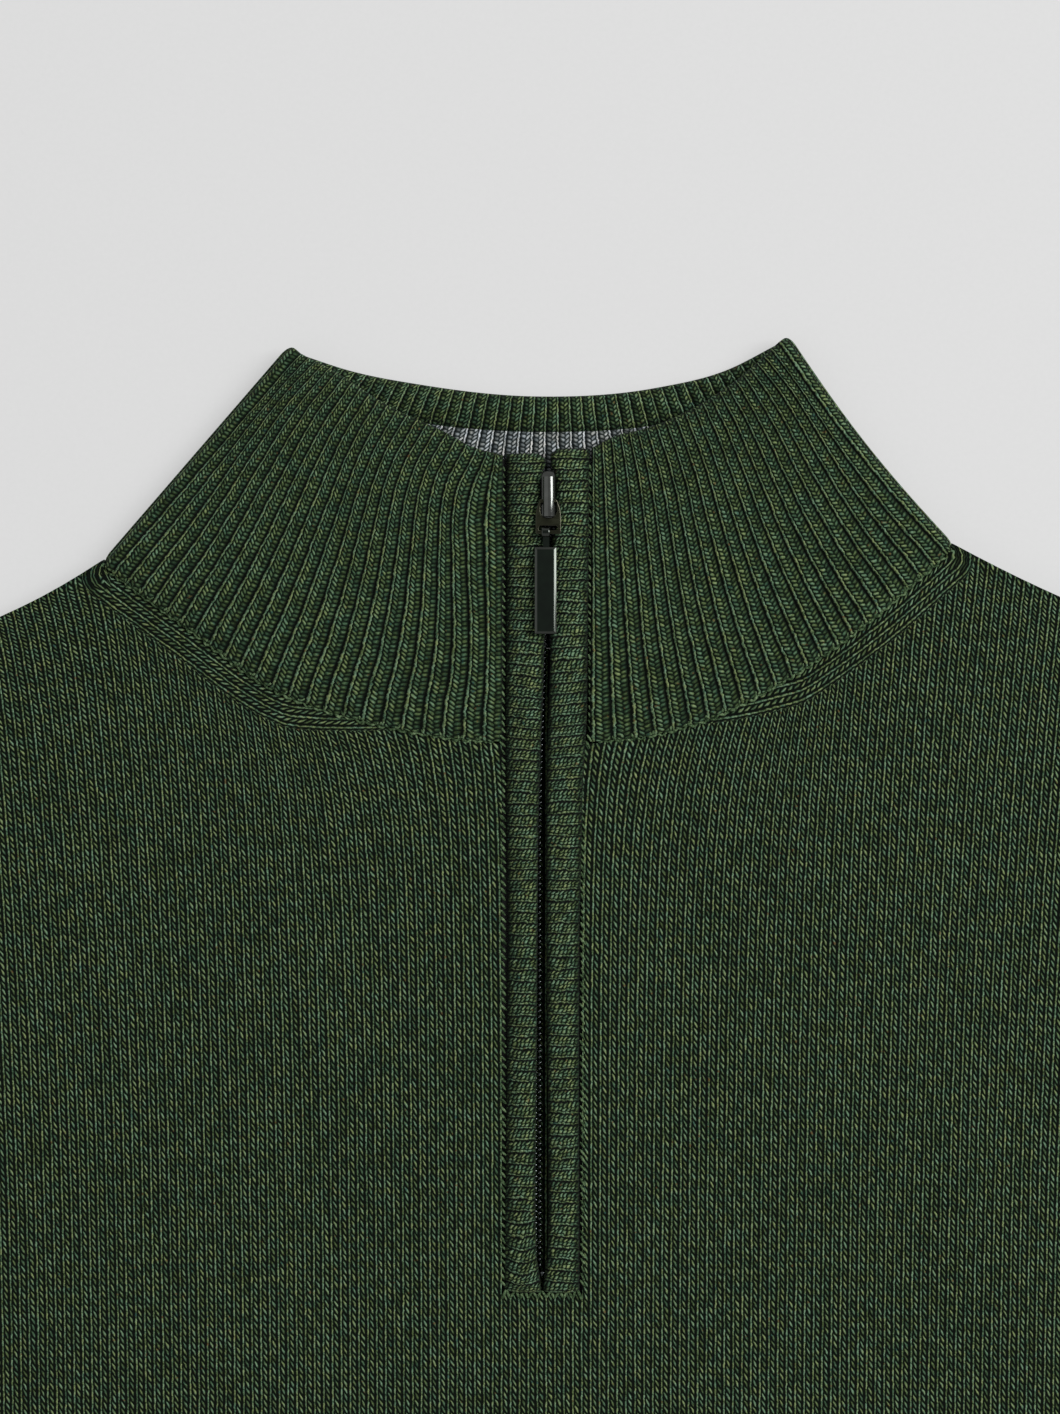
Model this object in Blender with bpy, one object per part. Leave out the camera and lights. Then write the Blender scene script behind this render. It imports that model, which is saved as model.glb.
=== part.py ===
"""A quarter zip sweater in marled green wool, laid flat on a surface with its front up.

Every length is in millimetres until to_metres. The tables measure from the point where the collar
seam meets the zip, with +X to the wearer's left, +Y towards the head and +Z up from the surface.
"""

import math

import bmesh
import bpy
import numpy as np
from mathutils import Matrix, Vector

MIDDLE_Y = 275.0  # from the tables' zero to the middle of the garment, along Y

# Cloth, as it lies: two walls, one on the other
WALL = 2.2
SEAM_GAP = 0.3
FRONT_REST = WALL + SEAM_GAP  # underside of the front where it lies on the back
FOLD_MIDDLE = FRONT_REST - SEAM_GAP / 2  # height of the folded edges of the sleeves
FLAT_ANGLE = 0.002  # faces that turn less than this are one flat face

# Half panel, mirrored for the other side
SHOULDER_POINT = (225.0, -9.0)
SHOULDER_RISE = (0.6, 2.2)  # fullness of the left and the right shoulder near the neck
UNDERARM = (268.0, -226.0)
COLUMN_SPREAD = 0.85  # below 1 sets the panels' columns closer at the sides
NECK_GAP = 0.42  # between the collar's seam and the panels, along Y
ARMHOLE = (  # share down, x, y
    (0.00, 225.0, -9.0),
    (0.30, 213.0, -72.0),
    (0.60, 221.0, -142.0),
    (0.85, 248.5, -195.0),
    (1.00, 268.0, -226.0),
)
SIDE_SEAM = (  # share down, x, y
    (0.00, 268.0, -226.0),
    (0.40, 269.0, -370.0),
    (0.80, 266.0, -515.0),
    (1.00, 251.0, -582.0),
)
HEM_BOTTOM = -647.0
HEM_HALF_WIDTH = 237.0
RIB_HEIGHT = 0.9
HEM_RIBS = 118
PANEL_ROWS = (0.0, 0.05, 0.12, 0.2, 0.3, 0.41, 0.53, 0.66, 0.79, 0.89, 0.96, 1.0)
LOWER_ROWS = (0.0, 0.2, 0.42, 0.64, 0.82, 1.0)

# Sleeve, flat: its cuff lies at the end of a line from the shoulder
SLEEVE_END = (661.9, -482.4)
SLEEVE_DIRECTION = (0.766, -0.643)
SLEEVE_TOP_BOW = 22.0
SLEEVE_BOW_POWER = 0.75  # below 1 sets the bow nearer the shoulder
WRIST_HALF_WIDTH = 55.0
CUFF_LENGTH = 70.0
CUFF_ROWS = ((CUFF_LENGTH, 52.0), (54.0, 47.5), (0.0, 45.0))  # from the end, half width
CUFF_RIBS = 24
CUFF_RIB_SPAN = (0.03, 0.97)  # shares of the width between which the ribs lie
CUFF_FOLD = 0.008
CUFF_INSET = 0.025
UNDER_RIBS = 4  # ribs to one column of points underneath
NEAR_FOLD = (0.0, 0.0024, 0.008, 0.02)  # shares of the width where a sleeve's folded edge rounds
SLEEVE_INSET = 0.012  # share of the width that a sleeve's wall takes at its folds
FOLD_FADE = 30.0  # soft folds fade this far from a sleeve's folded edges
ARMHOLE_GAP = 0.45

# Collar halves: share from the zip to the fold, the seam's x and y, the top edge's x and y
COLLAR_LEFT = (
    (0.00, -10.4, 0.0, -10.0, 68.8),
    (0.12, -23.5, 1.2, -16.4, 70.6),
    (0.25, -38.2, 3.8, -23.0, 74.2),
    (0.50, -64.0, 12.1, -36.2, 79.9),
    (0.75, -85.2, 27.0, -48.3, 87.3),
    (1.00, -105.2, 40.2, -59.8, 92.1),
)
COLLAR_RIGHT = (
    (0.00, 10.7, 0.0, 11.2, 70.6),
    (0.12, 24.0, 1.4, 17.2, 73.6),
    (0.25, 36.4, 4.6, 23.3, 75.0),
    (0.50, 58.5, 15.5, 35.6, 80.2),
    (0.75, 78.2, 29.4, 46.6, 87.4),
    (1.00, 96.5, 44.5, 55.4, 94.0),
)
BACK_NECK = (  # share from the left fold to the right, x, y
    (0.00, -105.2, 40.2),
    (0.15, -78.0, 28.5),
    (0.50, -4.0, 22.5),
    (0.85, 70.0, 31.0),
    (1.00, 96.5, 44.5),
)
BACK_EDGE = (
    (0.00, -59.8, 92.1),
    (0.25, -31.5, 86.3),
    (0.50, -2.0, 83.3),
    (0.75, 27.5, 85.4),
    (0.90, 45.0, 90.0),
    (1.00, 55.4, 94.0),
)
LEFT_RIBS = 23
RIGHT_RIBS = 22
BACK_RIBS = 42
RIB_DRIFT = 0.05  # how far the ribs lean towards the zip at the top edge, as a share
RIGHT_FOLD_BOW = -1.0
FOLD_WIDTH = 3.2
TURN_IN = 0.873  # share of the height where the turned-in top edge begins
COLLAR_ROWS = (0.0, 0.14, 0.32, 0.52, 0.70, 0.867, TURN_IN, 0.97, 1.0)
LINING_ROWS = (0.01, 0.45, 0.86)
COLLAR_PUFF = 1.2
BAND_RIB_HEIGHT = 0.5  # of the turned-in edge
LINING_RIB_HEIGHT = 0.25

# Heights of the collar's layers above and below the middle of its fold
COLLAR_MIDDLE = 3.85
OUTER_FACE = 3.85
INNER_FACE = OUTER_FACE - WALL
TURNED_FACE = 0.45
ROUNDED_FACE = (3.0, 1.3)  # outer and inner face at the very edge
LINING_FACES = (INNER_FACE - SEAM_GAP, 0.25)

# Zip opening
SLOT_LEFT = -10.4
SLOT_RIGHT = 10.6
SLOT_END = -132.6
SLIT_TOP = 20.0
SLIT_LOW = -5.0
SLIT_HIGH = 20.0
FACING_END = -132.2
FACING_LEFT = (-10.0, -9.65)  # outer edge at the body and at the top
FACING_RIGHT = (10.3, 10.85)
FACING_TOP_LEFT = 69.2
FACING_TOP_RIGHT = 70.4
FACING_RIBS = 76
FACING_THICKNESS = 2.6
FACING_CREST = 0.6
FACING_PROFILE = (  # share across, height over the thickness, shares of the ribs and of the lift
    (0.0, -0.5, 0.5, 1.0),
    (0.4, 0.1, 1.0, 1.0),
    (1.0, -1.1, 0.5, 0.0),
)
SPLIT_HALF = 0.7  # half of the gap between the facings
SPLIT_X = (-0.7, 0.8)  # the gap's middle below and above
SPLIT_TURN = (-25.0, 40.0)  # and where it goes from one to the other
SPREAD = (47.0, 52.0, 66.0, 72.0)  # where the slider begins to spread the facings, to where it ends
SPREAD_WIDTH = 1.0
SPREAD_LIFT = 1.4
SPREAD_PRESS = 0.25  # share of their thickness that they lose there
ZIP_LIFT = 1.5  # how much higher the zip lies on the collar than on the body
ZIP_SETTLE = 60.0  # how far below the seam it takes to fall
NECK_LIFT = 1.7
NECK_SLOPE = 45.0  # how far the front takes to settle below the collar
PLACKET_SLOPE = 27.0  # and beside the zip

# Zip, in heights above the rest of the layer
TAPE = (1.0, 1.7)
TAPE_OUTER = (-9.5, 10.0)
TAPE_IN_SLIDER = 1.9  # from the slider's middle to a tape's edge
TAPE_ROWS = (FACING_END, -60.0, -45.0, -30.0, -15.0, 0.0, 20.0, 35.0, 49.0, 53.5, 68.0)
CHAIN = (0.4, 1.7)
CHAIN_HALF = 2.2
CHAIN_MOUTH = 1.45  # where it enters the slider
SLIDER_HALF = 4.2
SLIDER_SPAN = (53.2, 65.0)
SLIDER_PLATES = ((0.0, 0.6), (2.1, 3.1))
SLIDER_ROUNDING = 0.25
WEDGE_HALF = 1.3
WEDGE_HEIGHTS = (0.3, 2.6)
WEDGE_ENDS = (1.5, 0.6)  # short of the slider's ends
BRIDGE_X = 0.9
BRIDGE_HALF = 1.35
BRIDGE_SPAN = (53.9, 64.1)
AXLE_Z = 10.6
BRIDGE_HOLE = 0.75
BRIDGE_LEG = 1.5
BRIDGE_TOP = 1.7  # above the axle
BRIDGE_ROUNDING = 0.45
CUTTER_REACH = 5.0  # half length of a cutter, past any wall
BAIL_X = 0.6
BAIL_AXLE_Y = 57.6
BAIL_TOP = (-1.9, 2.5)  # corners of its upper bar, from its middle
BAIL_HALF = 3.25
BAIL_SHOULDER = 3.0
BAIL_OPENING = (1.95, 53.5)  # half width round the bridge, and its lower end
BAIL_SLOT = (2.3, 51.7)  # half width of the slot for the tab, and its upper end
BAR = 0.9
TAB_AXLE_Y = 50.2
TAB_X = -0.1
TAB_SPAN = (25.9, 46.6)
TAB_HALF = 2.8
TAB_THICKNESS = 1.6
TAB_ROUNDING = 0.35
TAB_NECK = (1.1, 0.4)  # half width and half thickness
TAB_NECK_ROOT = 1.0  # how deep it enters the bar
TAB_RING = (1.3, 0.72)  # outer and inner radius

# The largest soft folds: middle x and y, angle, length, width, height
FOLDS = (
    (214.0, -232.0, -52.0, 150.0, 26.0, 1.5),
    (176.0, -262.0, -24.0, 120.0, 30.0, 1.0),
    (-220.0, -240.0, 233.0, 135.0, 24.0, 1.3),
    (-186.0, -300.0, 250.0, 150.0, 34.0, 1.1),
    (338.0, -205.0, -38.0, 170.0, 22.0, 1.5),
    (480.0, -330.0, -72.0, 90.0, 20.0, 1.3),
    (-330.0, -196.0, 216.0, 150.0, 24.0, 1.4),
    (-488.0, -338.0, 258.0, 80.0, 18.0, 1.4),
    (-120.0, -520.0, 262.0, 140.0, 36.0, 0.9),
    (92.0, -500.0, 275.0, 170.0, 40.0, 1.0),
)

GREEN = (0.031, 0.046, 0.026, 1.0)
GREY = (0.12, 0.135, 0.14, 1.0)
BLACK = (0.008, 0.009, 0.008, 1.0)
GUNMETAL = (0.035, 0.037, 0.035, 1.0)
SILVER = (0.42, 0.42, 0.41, 1.0)


def smooth(share):
    """Rises from 0 to 1 with level ends."""
    share = np.clip(share, 0.0, 1.0)
    return share * share * (3.0 - 2.0 * share)


def through(table, at):
    """Reads a smooth curve through a table's rows at the given shares."""
    rows = np.asarray(table, float)
    knots = rows[:, 0]
    values = rows[:, 1:]
    slopes = np.gradient(values, knots, axis=0)
    at = np.asarray(at, float)
    spot = np.clip(np.searchsorted(knots, at, side="right") - 1, 0, len(knots) - 2)
    width = (knots[spot + 1] - knots[spot])[:, None]
    part = (at[:, None] - knots[spot][:, None]) / width
    start = values[spot] + slopes[spot] * width * part * (1.0 - part) ** 2
    level = part * part * (3.0 - 2.0 * part)
    bend = slopes[spot + 1] * width * part * part * (part - 1.0)
    return start + (values[spot + 1] - values[spot]) * level + bend


def patch(lower, upper, left, right, across, along):
    """Fills four edges with rows of points that follow them."""
    s = np.asarray(across, float)[None, :, None]
    t = np.asarray(along, float)[:, None, None]
    rows = (1 - t) * lower[None] + t * upper[None]
    columns = (1 - s) * left[:, None] + s * right[:, None]
    corners = (1 - s) * (1 - t) * lower[0] + s * (1 - t) * lower[-1]
    corners = corners + (1 - s) * t * upper[0] + s * t * upper[-1]
    return rows + columns - corners


def lift_points(plan, height):
    """Gives each point of a plan its height."""
    height = np.broadcast_to(np.asarray(height, float), plan.shape[:-1])
    return np.concatenate([plan, height[..., None]], axis=-1)


def to_metres(points):
    """Moves points from the tables' frame to the model's own."""
    points = np.asarray(points, float) + np.array([0.0, MIDDLE_Y, 0.0])
    return points / 1000.0


def finish(name, colour, roughness, metallic=0.0):
    """Makes a material."""
    material = bpy.data.materials.new(name)
    material.use_nodes = True
    shader = material.node_tree.nodes["Principled BSDF"]
    shader.inputs["Base Color"].default_value = colour
    shader.inputs["Roughness"].default_value = roughness
    shader.inputs["Metallic"].default_value = metallic
    return material


def add_object(name, mesh, look):
    """Turns a bmesh into a named object with its own material."""
    bmesh.ops.recalc_face_normals(mesh, faces=mesh.faces)
    bmesh.ops.dissolve_limit(mesh, angle_limit=FLAT_ANGLE, verts=mesh.verts, edges=mesh.edges)
    data = bpy.data.meshes.new(name)
    mesh.to_mesh(data)
    mesh.free()
    data.materials.append(finish(name, *look))
    made = bpy.data.objects.new(name, data)
    bpy.context.scene.collection.objects.link(made)
    return made


def wall(name, over, under, look, spans=None, ring=False):
    """Closes the cloth between two grids of points, rows by columns.

    spans says how many columns of each grid back onto each other, so that a ribbed face may lie
    over a plain one. A ring's last column joins its first.
    """
    over = to_metres(over)
    under = to_metres(under)
    mesh = bmesh.new()
    top = [[mesh.verts.new(point) for point in row] for row in over]
    low = [[mesh.verts.new(point) for point in row] for row in under]
    if ring:
        for grid in (top, low):
            for row in grid:
                row.append(row[0])
    rows = len(top)
    if spans is None:
        spans = [(1, 1)] * (len(top[0]) - 1)
    for grid in (top, low):
        for i in range(rows - 1):
            for j in range(len(grid[0]) - 1):
                mesh.faces.new((grid[i][j], grid[i][j + 1], grid[i + 1][j + 1], grid[i + 1][j]))
    for i in (0, rows - 1):
        a = 0
        b = 0
        for wide, narrow in spans:
            mesh.faces.new(top[i][a : a + wide + 1] + low[i][b : b + narrow + 1][::-1])
            a += wide
            b += narrow
    if not ring:
        for j in (0, -1):
            for i in range(rows - 1):
                mesh.faces.new((top[i][j], top[i + 1][j], low[i + 1][j], low[i][j]))
    return add_object(name, mesh, look)


def slab(name, outline, bottom, height, look):
    """Raises a flat outline to a plate."""
    mesh = bmesh.new()
    points = to_metres(lift_points(np.asarray(outline, float), bottom))
    face = mesh.faces.new([mesh.verts.new(point) for point in points])
    raised = bmesh.ops.extrude_face_region(mesh, geom=[face])
    moved = [item for item in raised["geom"] if isinstance(item, bmesh.types.BMVert)]
    bmesh.ops.translate(mesh, verts=moved, vec=(0.0, 0.0, height / 1000.0))
    return add_object(name, mesh, look)


def box(name, low, high, look=(BLACK, 0.6)):
    """Makes a plain block between two corners."""
    low = to_metres(low)
    high = to_metres(high)
    mesh = bmesh.new()
    shape = Matrix.LocRotScale(Vector((low + high) / 2), None, Vector(high - low))
    bmesh.ops.create_cube(mesh, size=1.0, matrix=shape)
    return add_object(name, mesh, look)


def combine(body, other, operation):
    """Joins another shape to a body, or cuts it out, and removes it."""
    modifier = body.modifiers.new(other.name, "BOOLEAN")
    modifier.operation = operation
    modifier.solver = "EXACT"
    modifier.object = other
    bpy.context.view_layer.objects.active = body
    bpy.ops.object.modifier_apply(modifier=modifier.name)
    bpy.data.objects.remove(other, do_unlink=True)


def bevel_edges(body, width, segments=1, angle=0.6):
    """Rounds the sharp edges of a hard piece."""
    modifier = body.modifiers.new("Rounded edges", "BEVEL")
    modifier.width = width / 1000.0
    modifier.segments = segments
    modifier.limit_method = "ANGLE"
    modifier.angle_limit = angle
    bpy.context.view_layer.objects.active = body
    bpy.ops.object.modifier_apply(modifier=modifier.name)


def set_origin(body, x, y, z):
    """Puts a moving piece's origin on its axle."""
    place = Vector(to_metres((x, y, z)))
    body.data.transform(Matrix.Translation(-place))
    body.location = place


# Heights of the front


def front_neckline():
    """Points along the seam of the whole front collar, from the left fold to the right."""
    shares = np.linspace(0.0, 1.0, 9)
    left = through(COLLAR_LEFT, shares)[::-1, :2]
    right = through(COLLAR_RIGHT, shares)[:, :2]
    return np.concatenate([left, right])


def zip_rest(y):
    """Height of what lies under the zip: it falls from the collar to the body."""
    return FRONT_REST + ZIP_LIFT * smooth(1.0 + np.asarray(y, float) / ZIP_SETTLE)


def fold_height(plan):
    """Height that the soft folds add at each point."""
    total = np.zeros(plan.shape[:-1])
    for x, y, angle, length, width, height in FOLDS:
        turn = math.radians(angle)
        dx = plan[..., 0] - x
        dy = plan[..., 1] - y
        along = (dx * math.cos(turn) + dy * math.sin(turn)) / (length / 2)
        across = (dy * math.cos(turn) - dx * math.sin(turn)) / (width / 2)
        total += height * smooth(1.0 - np.abs(along)) * smooth(1.0 - np.abs(across))
    return total


def front_underside(plan):
    """Height of the front panel's underside."""
    line = front_neckline()
    reach = np.linalg.norm(plan[..., None, :] - line, axis=-1).min(axis=-1)
    neck = NECK_LIFT * smooth(1.0 - reach / NECK_SLOPE)
    x = np.abs(plan[..., 0])
    y = plan[..., 1]
    beside = smooth(1.0 - (x - SLOT_RIGHT) / PLACKET_SLOPE)
    beside = beside * smooth(1.0 - (SLOT_END - y) / PLACKET_SLOPE)
    placket = (zip_rest(y) + TAPE[0] - FRONT_REST) * beside
    return FRONT_REST + np.cbrt(neck**3 + placket**3) + fold_height(plan)


# Panels


def shoulder_line(side, neck_end, rise):
    """Points from the shoulder point towards the neck, a little full near the neck."""
    steps = np.linspace(0.0, 1.0, 7)[:-1, None]
    point = np.array(SHOULDER_POINT) * np.array([side, 1.0])
    full = np.array([0.0, rise]) * np.sin(math.pi * steps**3)
    return point * (1 - steps) + neck_end * steps + full


def panel_plan(neck):
    """Plan of a panel from side seam to side seam, in two joined patches.

    neck holds the points of its neckline from left to right.
    """
    mirror = np.array([-1.0, 1.0])
    left = shoulder_line(-1.0, neck[0], SHOULDER_RISE[0])
    right = shoulder_line(1.0, neck[-1], SHOULDER_RISE[1])[::-1]
    top = np.concatenate([left, neck, right])
    armhole = through(ARMHOLE, PANEL_ROWS)
    seam = through(SIDE_SEAM, LOWER_ROWS)
    spread = np.linspace(-1.0, 1.0, len(top))
    reach = np.abs(spread) ** COLUMN_SPREAD * np.sign(spread)
    middle = np.stack([reach * armhole[-1, 0], np.full(len(top), armhole[-1, 1])], axis=1)
    across = (reach + 1.0) / 2.0
    upper = patch(top, middle, armhole * mirror, armhole, across, PANEL_ROWS)
    foot = np.stack([reach * seam[-1, 0], np.full(len(top), seam[-1, 1])], axis=1)
    lower = patch(middle, foot, seam * mirror, seam, across, LOWER_ROWS)
    return np.concatenate([upper, lower[1:]])


def make_front():
    """The front panel, with its slit cut for the zip."""
    neck = front_neckline() - np.array([0.0, NECK_GAP])
    plan = panel_plan(neck)
    under = front_underside(plan)
    front = wall("front", lift_points(plan, under + WALL), lift_points(plan, under), (GREEN, 0.9))
    slit = box("slit", (SLOT_LEFT, SLOT_END, SLIT_LOW), (SLOT_RIGHT, SLIT_TOP, SLIT_HIGH))
    combine(front, slit, "DIFFERENCE")
    return front


def make_back():
    """The back panel, which lies flat."""
    neck = through(BACK_NECK, np.linspace(0.0, 1.0, 17)) - np.array([0.0, NECK_GAP])
    plan = panel_plan(neck)
    outline = np.concatenate([plan[0], plan[1:-1, -1], plan[-1][::-1], plan[1:-1, 0][::-1]])
    return slab("back", outline, 0.0, WALL, (GREEN, 0.9))


def ribbed_row(count, height):
    """Heights of a row of ribs, one crest between two valleys."""
    return np.where(np.arange(2 * count + 1) % 2 == 1, height, 0.0)


def make_hem():
    """The two ribbed bands of the hem."""
    seam_y = SIDE_SEAM[-1][2] - SEAM_GAP
    rows = ((seam_y, SIDE_SEAM[-1][1]), (HEM_BOTTOM, HEM_HALF_WIDTH))
    fine = np.linspace(-1.0, 1.0, 2 * HEM_RIBS + 1)
    plain = fine[::4]
    crest = ribbed_row(HEM_RIBS, RIB_HEIGHT)
    top = FRONT_REST + WALL
    over = np.array([[(s * half, y, top + h) for s, h in zip(fine, crest)] for y, half in rows])
    under = np.array([[(s * half, y, FRONT_REST) for s in plain] for y, half in rows])
    wall("hem_front", over, under, (GREEN, 0.9), spans=[(4, 1)] * (HEM_RIBS // 2))
    edge = np.array(rows)[:, ::-1]
    outline = np.concatenate([edge, edge[::-1] * np.array([-1.0, 1.0])])
    slab("hem_back", outline, 0.0, WALL, (GREEN, 0.9))


# Sleeves


def across_flat():
    """Shares across a flattened tube: the armhole's own, and more by the folded edges."""
    near = np.array(NEAR_FOLD)
    return np.concatenate([near, PANEL_ROWS[1:-1], 1.0 - near[::-1]])


def folded_loop(plan, width, centre, half, extra, lower_columns):
    """One flattened loop: over the top, then back underneath with fewer points.

    plan gives the point at a share across, width is its real width, and half its half height.
    """
    reach = np.minimum(plan[0], 1.0 - plan[0]) * width
    rise = half * np.sqrt(1.0 - (1.0 - np.clip(reach / half, 0.0, 1.0)) ** 2)
    upper = lift_points(plan[1], centre + rise + extra)
    lower = lift_points(plan[1], centre - rise)
    return np.concatenate([upper, lower[lower_columns][::-1]])


def sleeve_edges(side):
    """The sleeve's two folded edges and its ends, as curves of plan points."""
    mirror = np.array([side, 1.0])
    direction = np.array(SLEEVE_DIRECTION)
    normal = np.array([-direction[1], direction[0]])
    wrist = np.array(SLEEVE_END) - direction * (CUFF_LENGTH + SEAM_GAP)
    outer = wrist + normal * WRIST_HALF_WIDTH
    inner = wrist - normal * WRIST_HALF_WIDTH
    along = np.linspace(0.0, 1.0, 12)
    start = np.array(SHOULDER_POINT) + np.array([ARMHOLE_GAP, 0.0])
    end = np.array(UNDERARM) + np.array([ARMHOLE_GAP, 0.0])
    bow = (np.sin(math.pi * along**SLEEVE_BOW_POWER) * SLEEVE_TOP_BOW)[:, None] * normal
    top = start + (outer - start) * along[:, None] + bow
    low = end + (inner - end) * along[:, None]
    return top * mirror, low * mirror, along, mirror


def sleeve_loops(side, half, inset):
    """Rows of loops down a sleeve, drawn in by the wall for the inner face."""
    top, low, along, mirror = sleeve_edges(side)
    shares = across_flat()
    narrow = inset + (1.0 - 2.0 * inset) * shares
    armhole = through(ARMHOLE, narrow) + np.array([ARMHOLE_GAP, 0.0])
    cuff = top[-1] + (low[-1] - top[-1]) * narrow[:, None]
    start = top + (low - top) * inset
    end = low + (top - low) * inset
    plan = patch(armhole * mirror, cuff, start, end, shares, along)
    lower_columns = list(range(1, len(shares) - 1))
    loops = []
    for row in plan:
        width = np.linalg.norm(row[-1] - row[0])
        edge = smooth(np.minimum(shares, 1.0 - shares) * width / FOLD_FADE)
        extra = fold_height(row) * edge
        loops.append(folded_loop((shares, row), width, FOLD_MIDDLE, half, extra, lower_columns))
    return np.array(loops)


def make_sleeve(name, side):
    """A sleeve: a flattened tube from the armhole to the wrist."""
    outer = sleeve_loops(side, FOLD_MIDDLE, 0.0)
    inner = sleeve_loops(side, SEAM_GAP / 2, SLEEVE_INSET)
    wall(name, outer, inner, (GREEN, 0.9), ring=True)


def make_cuff(name, side):
    """A ribbed cuff: a short flattened tube."""
    direction = np.array(SLEEVE_DIRECTION)
    normal = np.array([-direction[1], direction[0]])
    mirror = np.array([side, 1.0])
    first = [0.0, CUFF_FOLD]
    last = [1.0 - CUFF_FOLD, 1.0]
    fine = np.concatenate([first, np.linspace(*CUFF_RIB_SPAN, 2 * CUFF_RIBS + 1), last])
    plain = np.concatenate([first, np.linspace(*CUFF_RIB_SPAN, CUFF_RIBS // 2 + 1), last])
    crest = np.concatenate([[0.0, 0.0], ribbed_row(CUFF_RIBS, RIB_HEIGHT), [0.0, 0.0]])
    below = UNDER_RIBS * 2
    lower_fine = [1, 2, *range(2 + below, len(fine) - 6, below), len(fine) - 3, len(fine) - 2]
    below = UNDER_RIBS // 2
    lower_plain = [1, 2, *range(2 + below, len(plain) - 3, below), len(plain) - 3, len(plain) - 2]
    outer = []
    inner = []
    for back, half_width in CUFF_ROWS:
        corner = np.array(SLEEVE_END) - direction * back + normal * half_width
        across = -2.0 * normal * half_width
        width = 2.0 * half_width
        row = (corner + across * fine[:, None]) * mirror
        outer.append(folded_loop((fine, row), width, FOLD_MIDDLE, FOLD_MIDDLE, crest, lower_fine))
        share = CUFF_INSET + (1.0 - 2.0 * CUFF_INSET) * plain
        row = (corner + across * share[:, None]) * mirror
        inner.append(folded_loop((plain, row), width, FOLD_MIDDLE, SEAM_GAP / 2, 0.0, lower_plain))
    edge = [(1, 1), (1, 1)]
    under = [(1, 1)] * (len(lower_fine) + 1)
    spans = edge + [(4, 1)] * (CUFF_RIBS // 2) + edge + under
    wall(name, np.array(outer), np.array(inner), (GREEN, 0.9), spans=spans, ring=True)


# Collar


def fold_line(table, bow, rows):
    """Middle line of a folded edge of the collar, from its seam to its tip."""
    seam = np.array(table[-1][1:3])
    tip = np.array(table[-1][3:5])
    rows = np.asarray(rows, float)
    run = tip - seam
    inward = np.array([run[1], -run[0]]) / np.linalg.norm(run)
    return seam + run * rows[:, None] + inward * (bow * np.sin(math.pi * rows))[:, None]


def half_collar(table, bow, zip_edge, shares, rows):
    """Plan of a front half of the collar, from the zip to the fold."""
    leaned = np.clip(shares - RIB_DRIFT * np.sin(math.pi * shares), 0.0, 1.0)
    seam = through(table, shares)[:, :2]
    edge = through(table, leaned)[:, 2:]
    rows = np.asarray(rows, float)
    return patch(seam, edge, zip_edge(rows), fold_line(table, bow, rows), shares, rows)


def zip_edge_of(table):
    """Straight edge of a collar half beside the zip."""
    start = np.array(table[0][1:3])
    end = np.array(table[0][3:5])
    return lambda rows: start + (end - start) * rows[:, None]


def back_collar(shares, rows):
    """Plan of the back of the collar, from the left fold to the right."""
    left = fold_line(COLLAR_LEFT, 0.0, rows)
    right = fold_line(COLLAR_RIGHT, RIGHT_FOLD_BOW, rows)
    return patch(through(BACK_NECK, shares), through(BACK_EDGE, shares), left, right, shares, rows)


def fold_points(table, bow, rows, side, faces, ribs):
    """The rounded fold itself: six steps from the front, round the edge, to the back."""
    centre = fold_line(table, bow, rows)
    run = np.array(table[-1][3:5]) - np.array(table[-1][1:3])
    outward = np.array([-run[1], run[0]]) / np.linalg.norm(run) * (-side)
    angles = np.linspace(math.pi / 2, -math.pi / 2, 7)[1:-1]
    width = faces * FOLD_WIDTH / OUTER_FACE
    columns = []
    for index, angle in enumerate(angles):
        rib = ribs * (index % 2 == 0) * (1.0 + math.sin(angle)) / 2.0
        reach = (width + rib)[:, None] * math.cos(angle)
        plan = centre + outward * reach
        columns.append(lift_points(plan, COLLAR_MIDDLE + (faces + rib) * math.sin(angle)))
    return np.stack(columns, axis=1)


def puffed(shares, rows):
    """Soft fullness of a front half."""
    return COLLAR_PUFF * np.outer(np.sin(math.pi * np.asarray(rows)) ** 0.8, np.sin(math.pi * shares))


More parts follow.
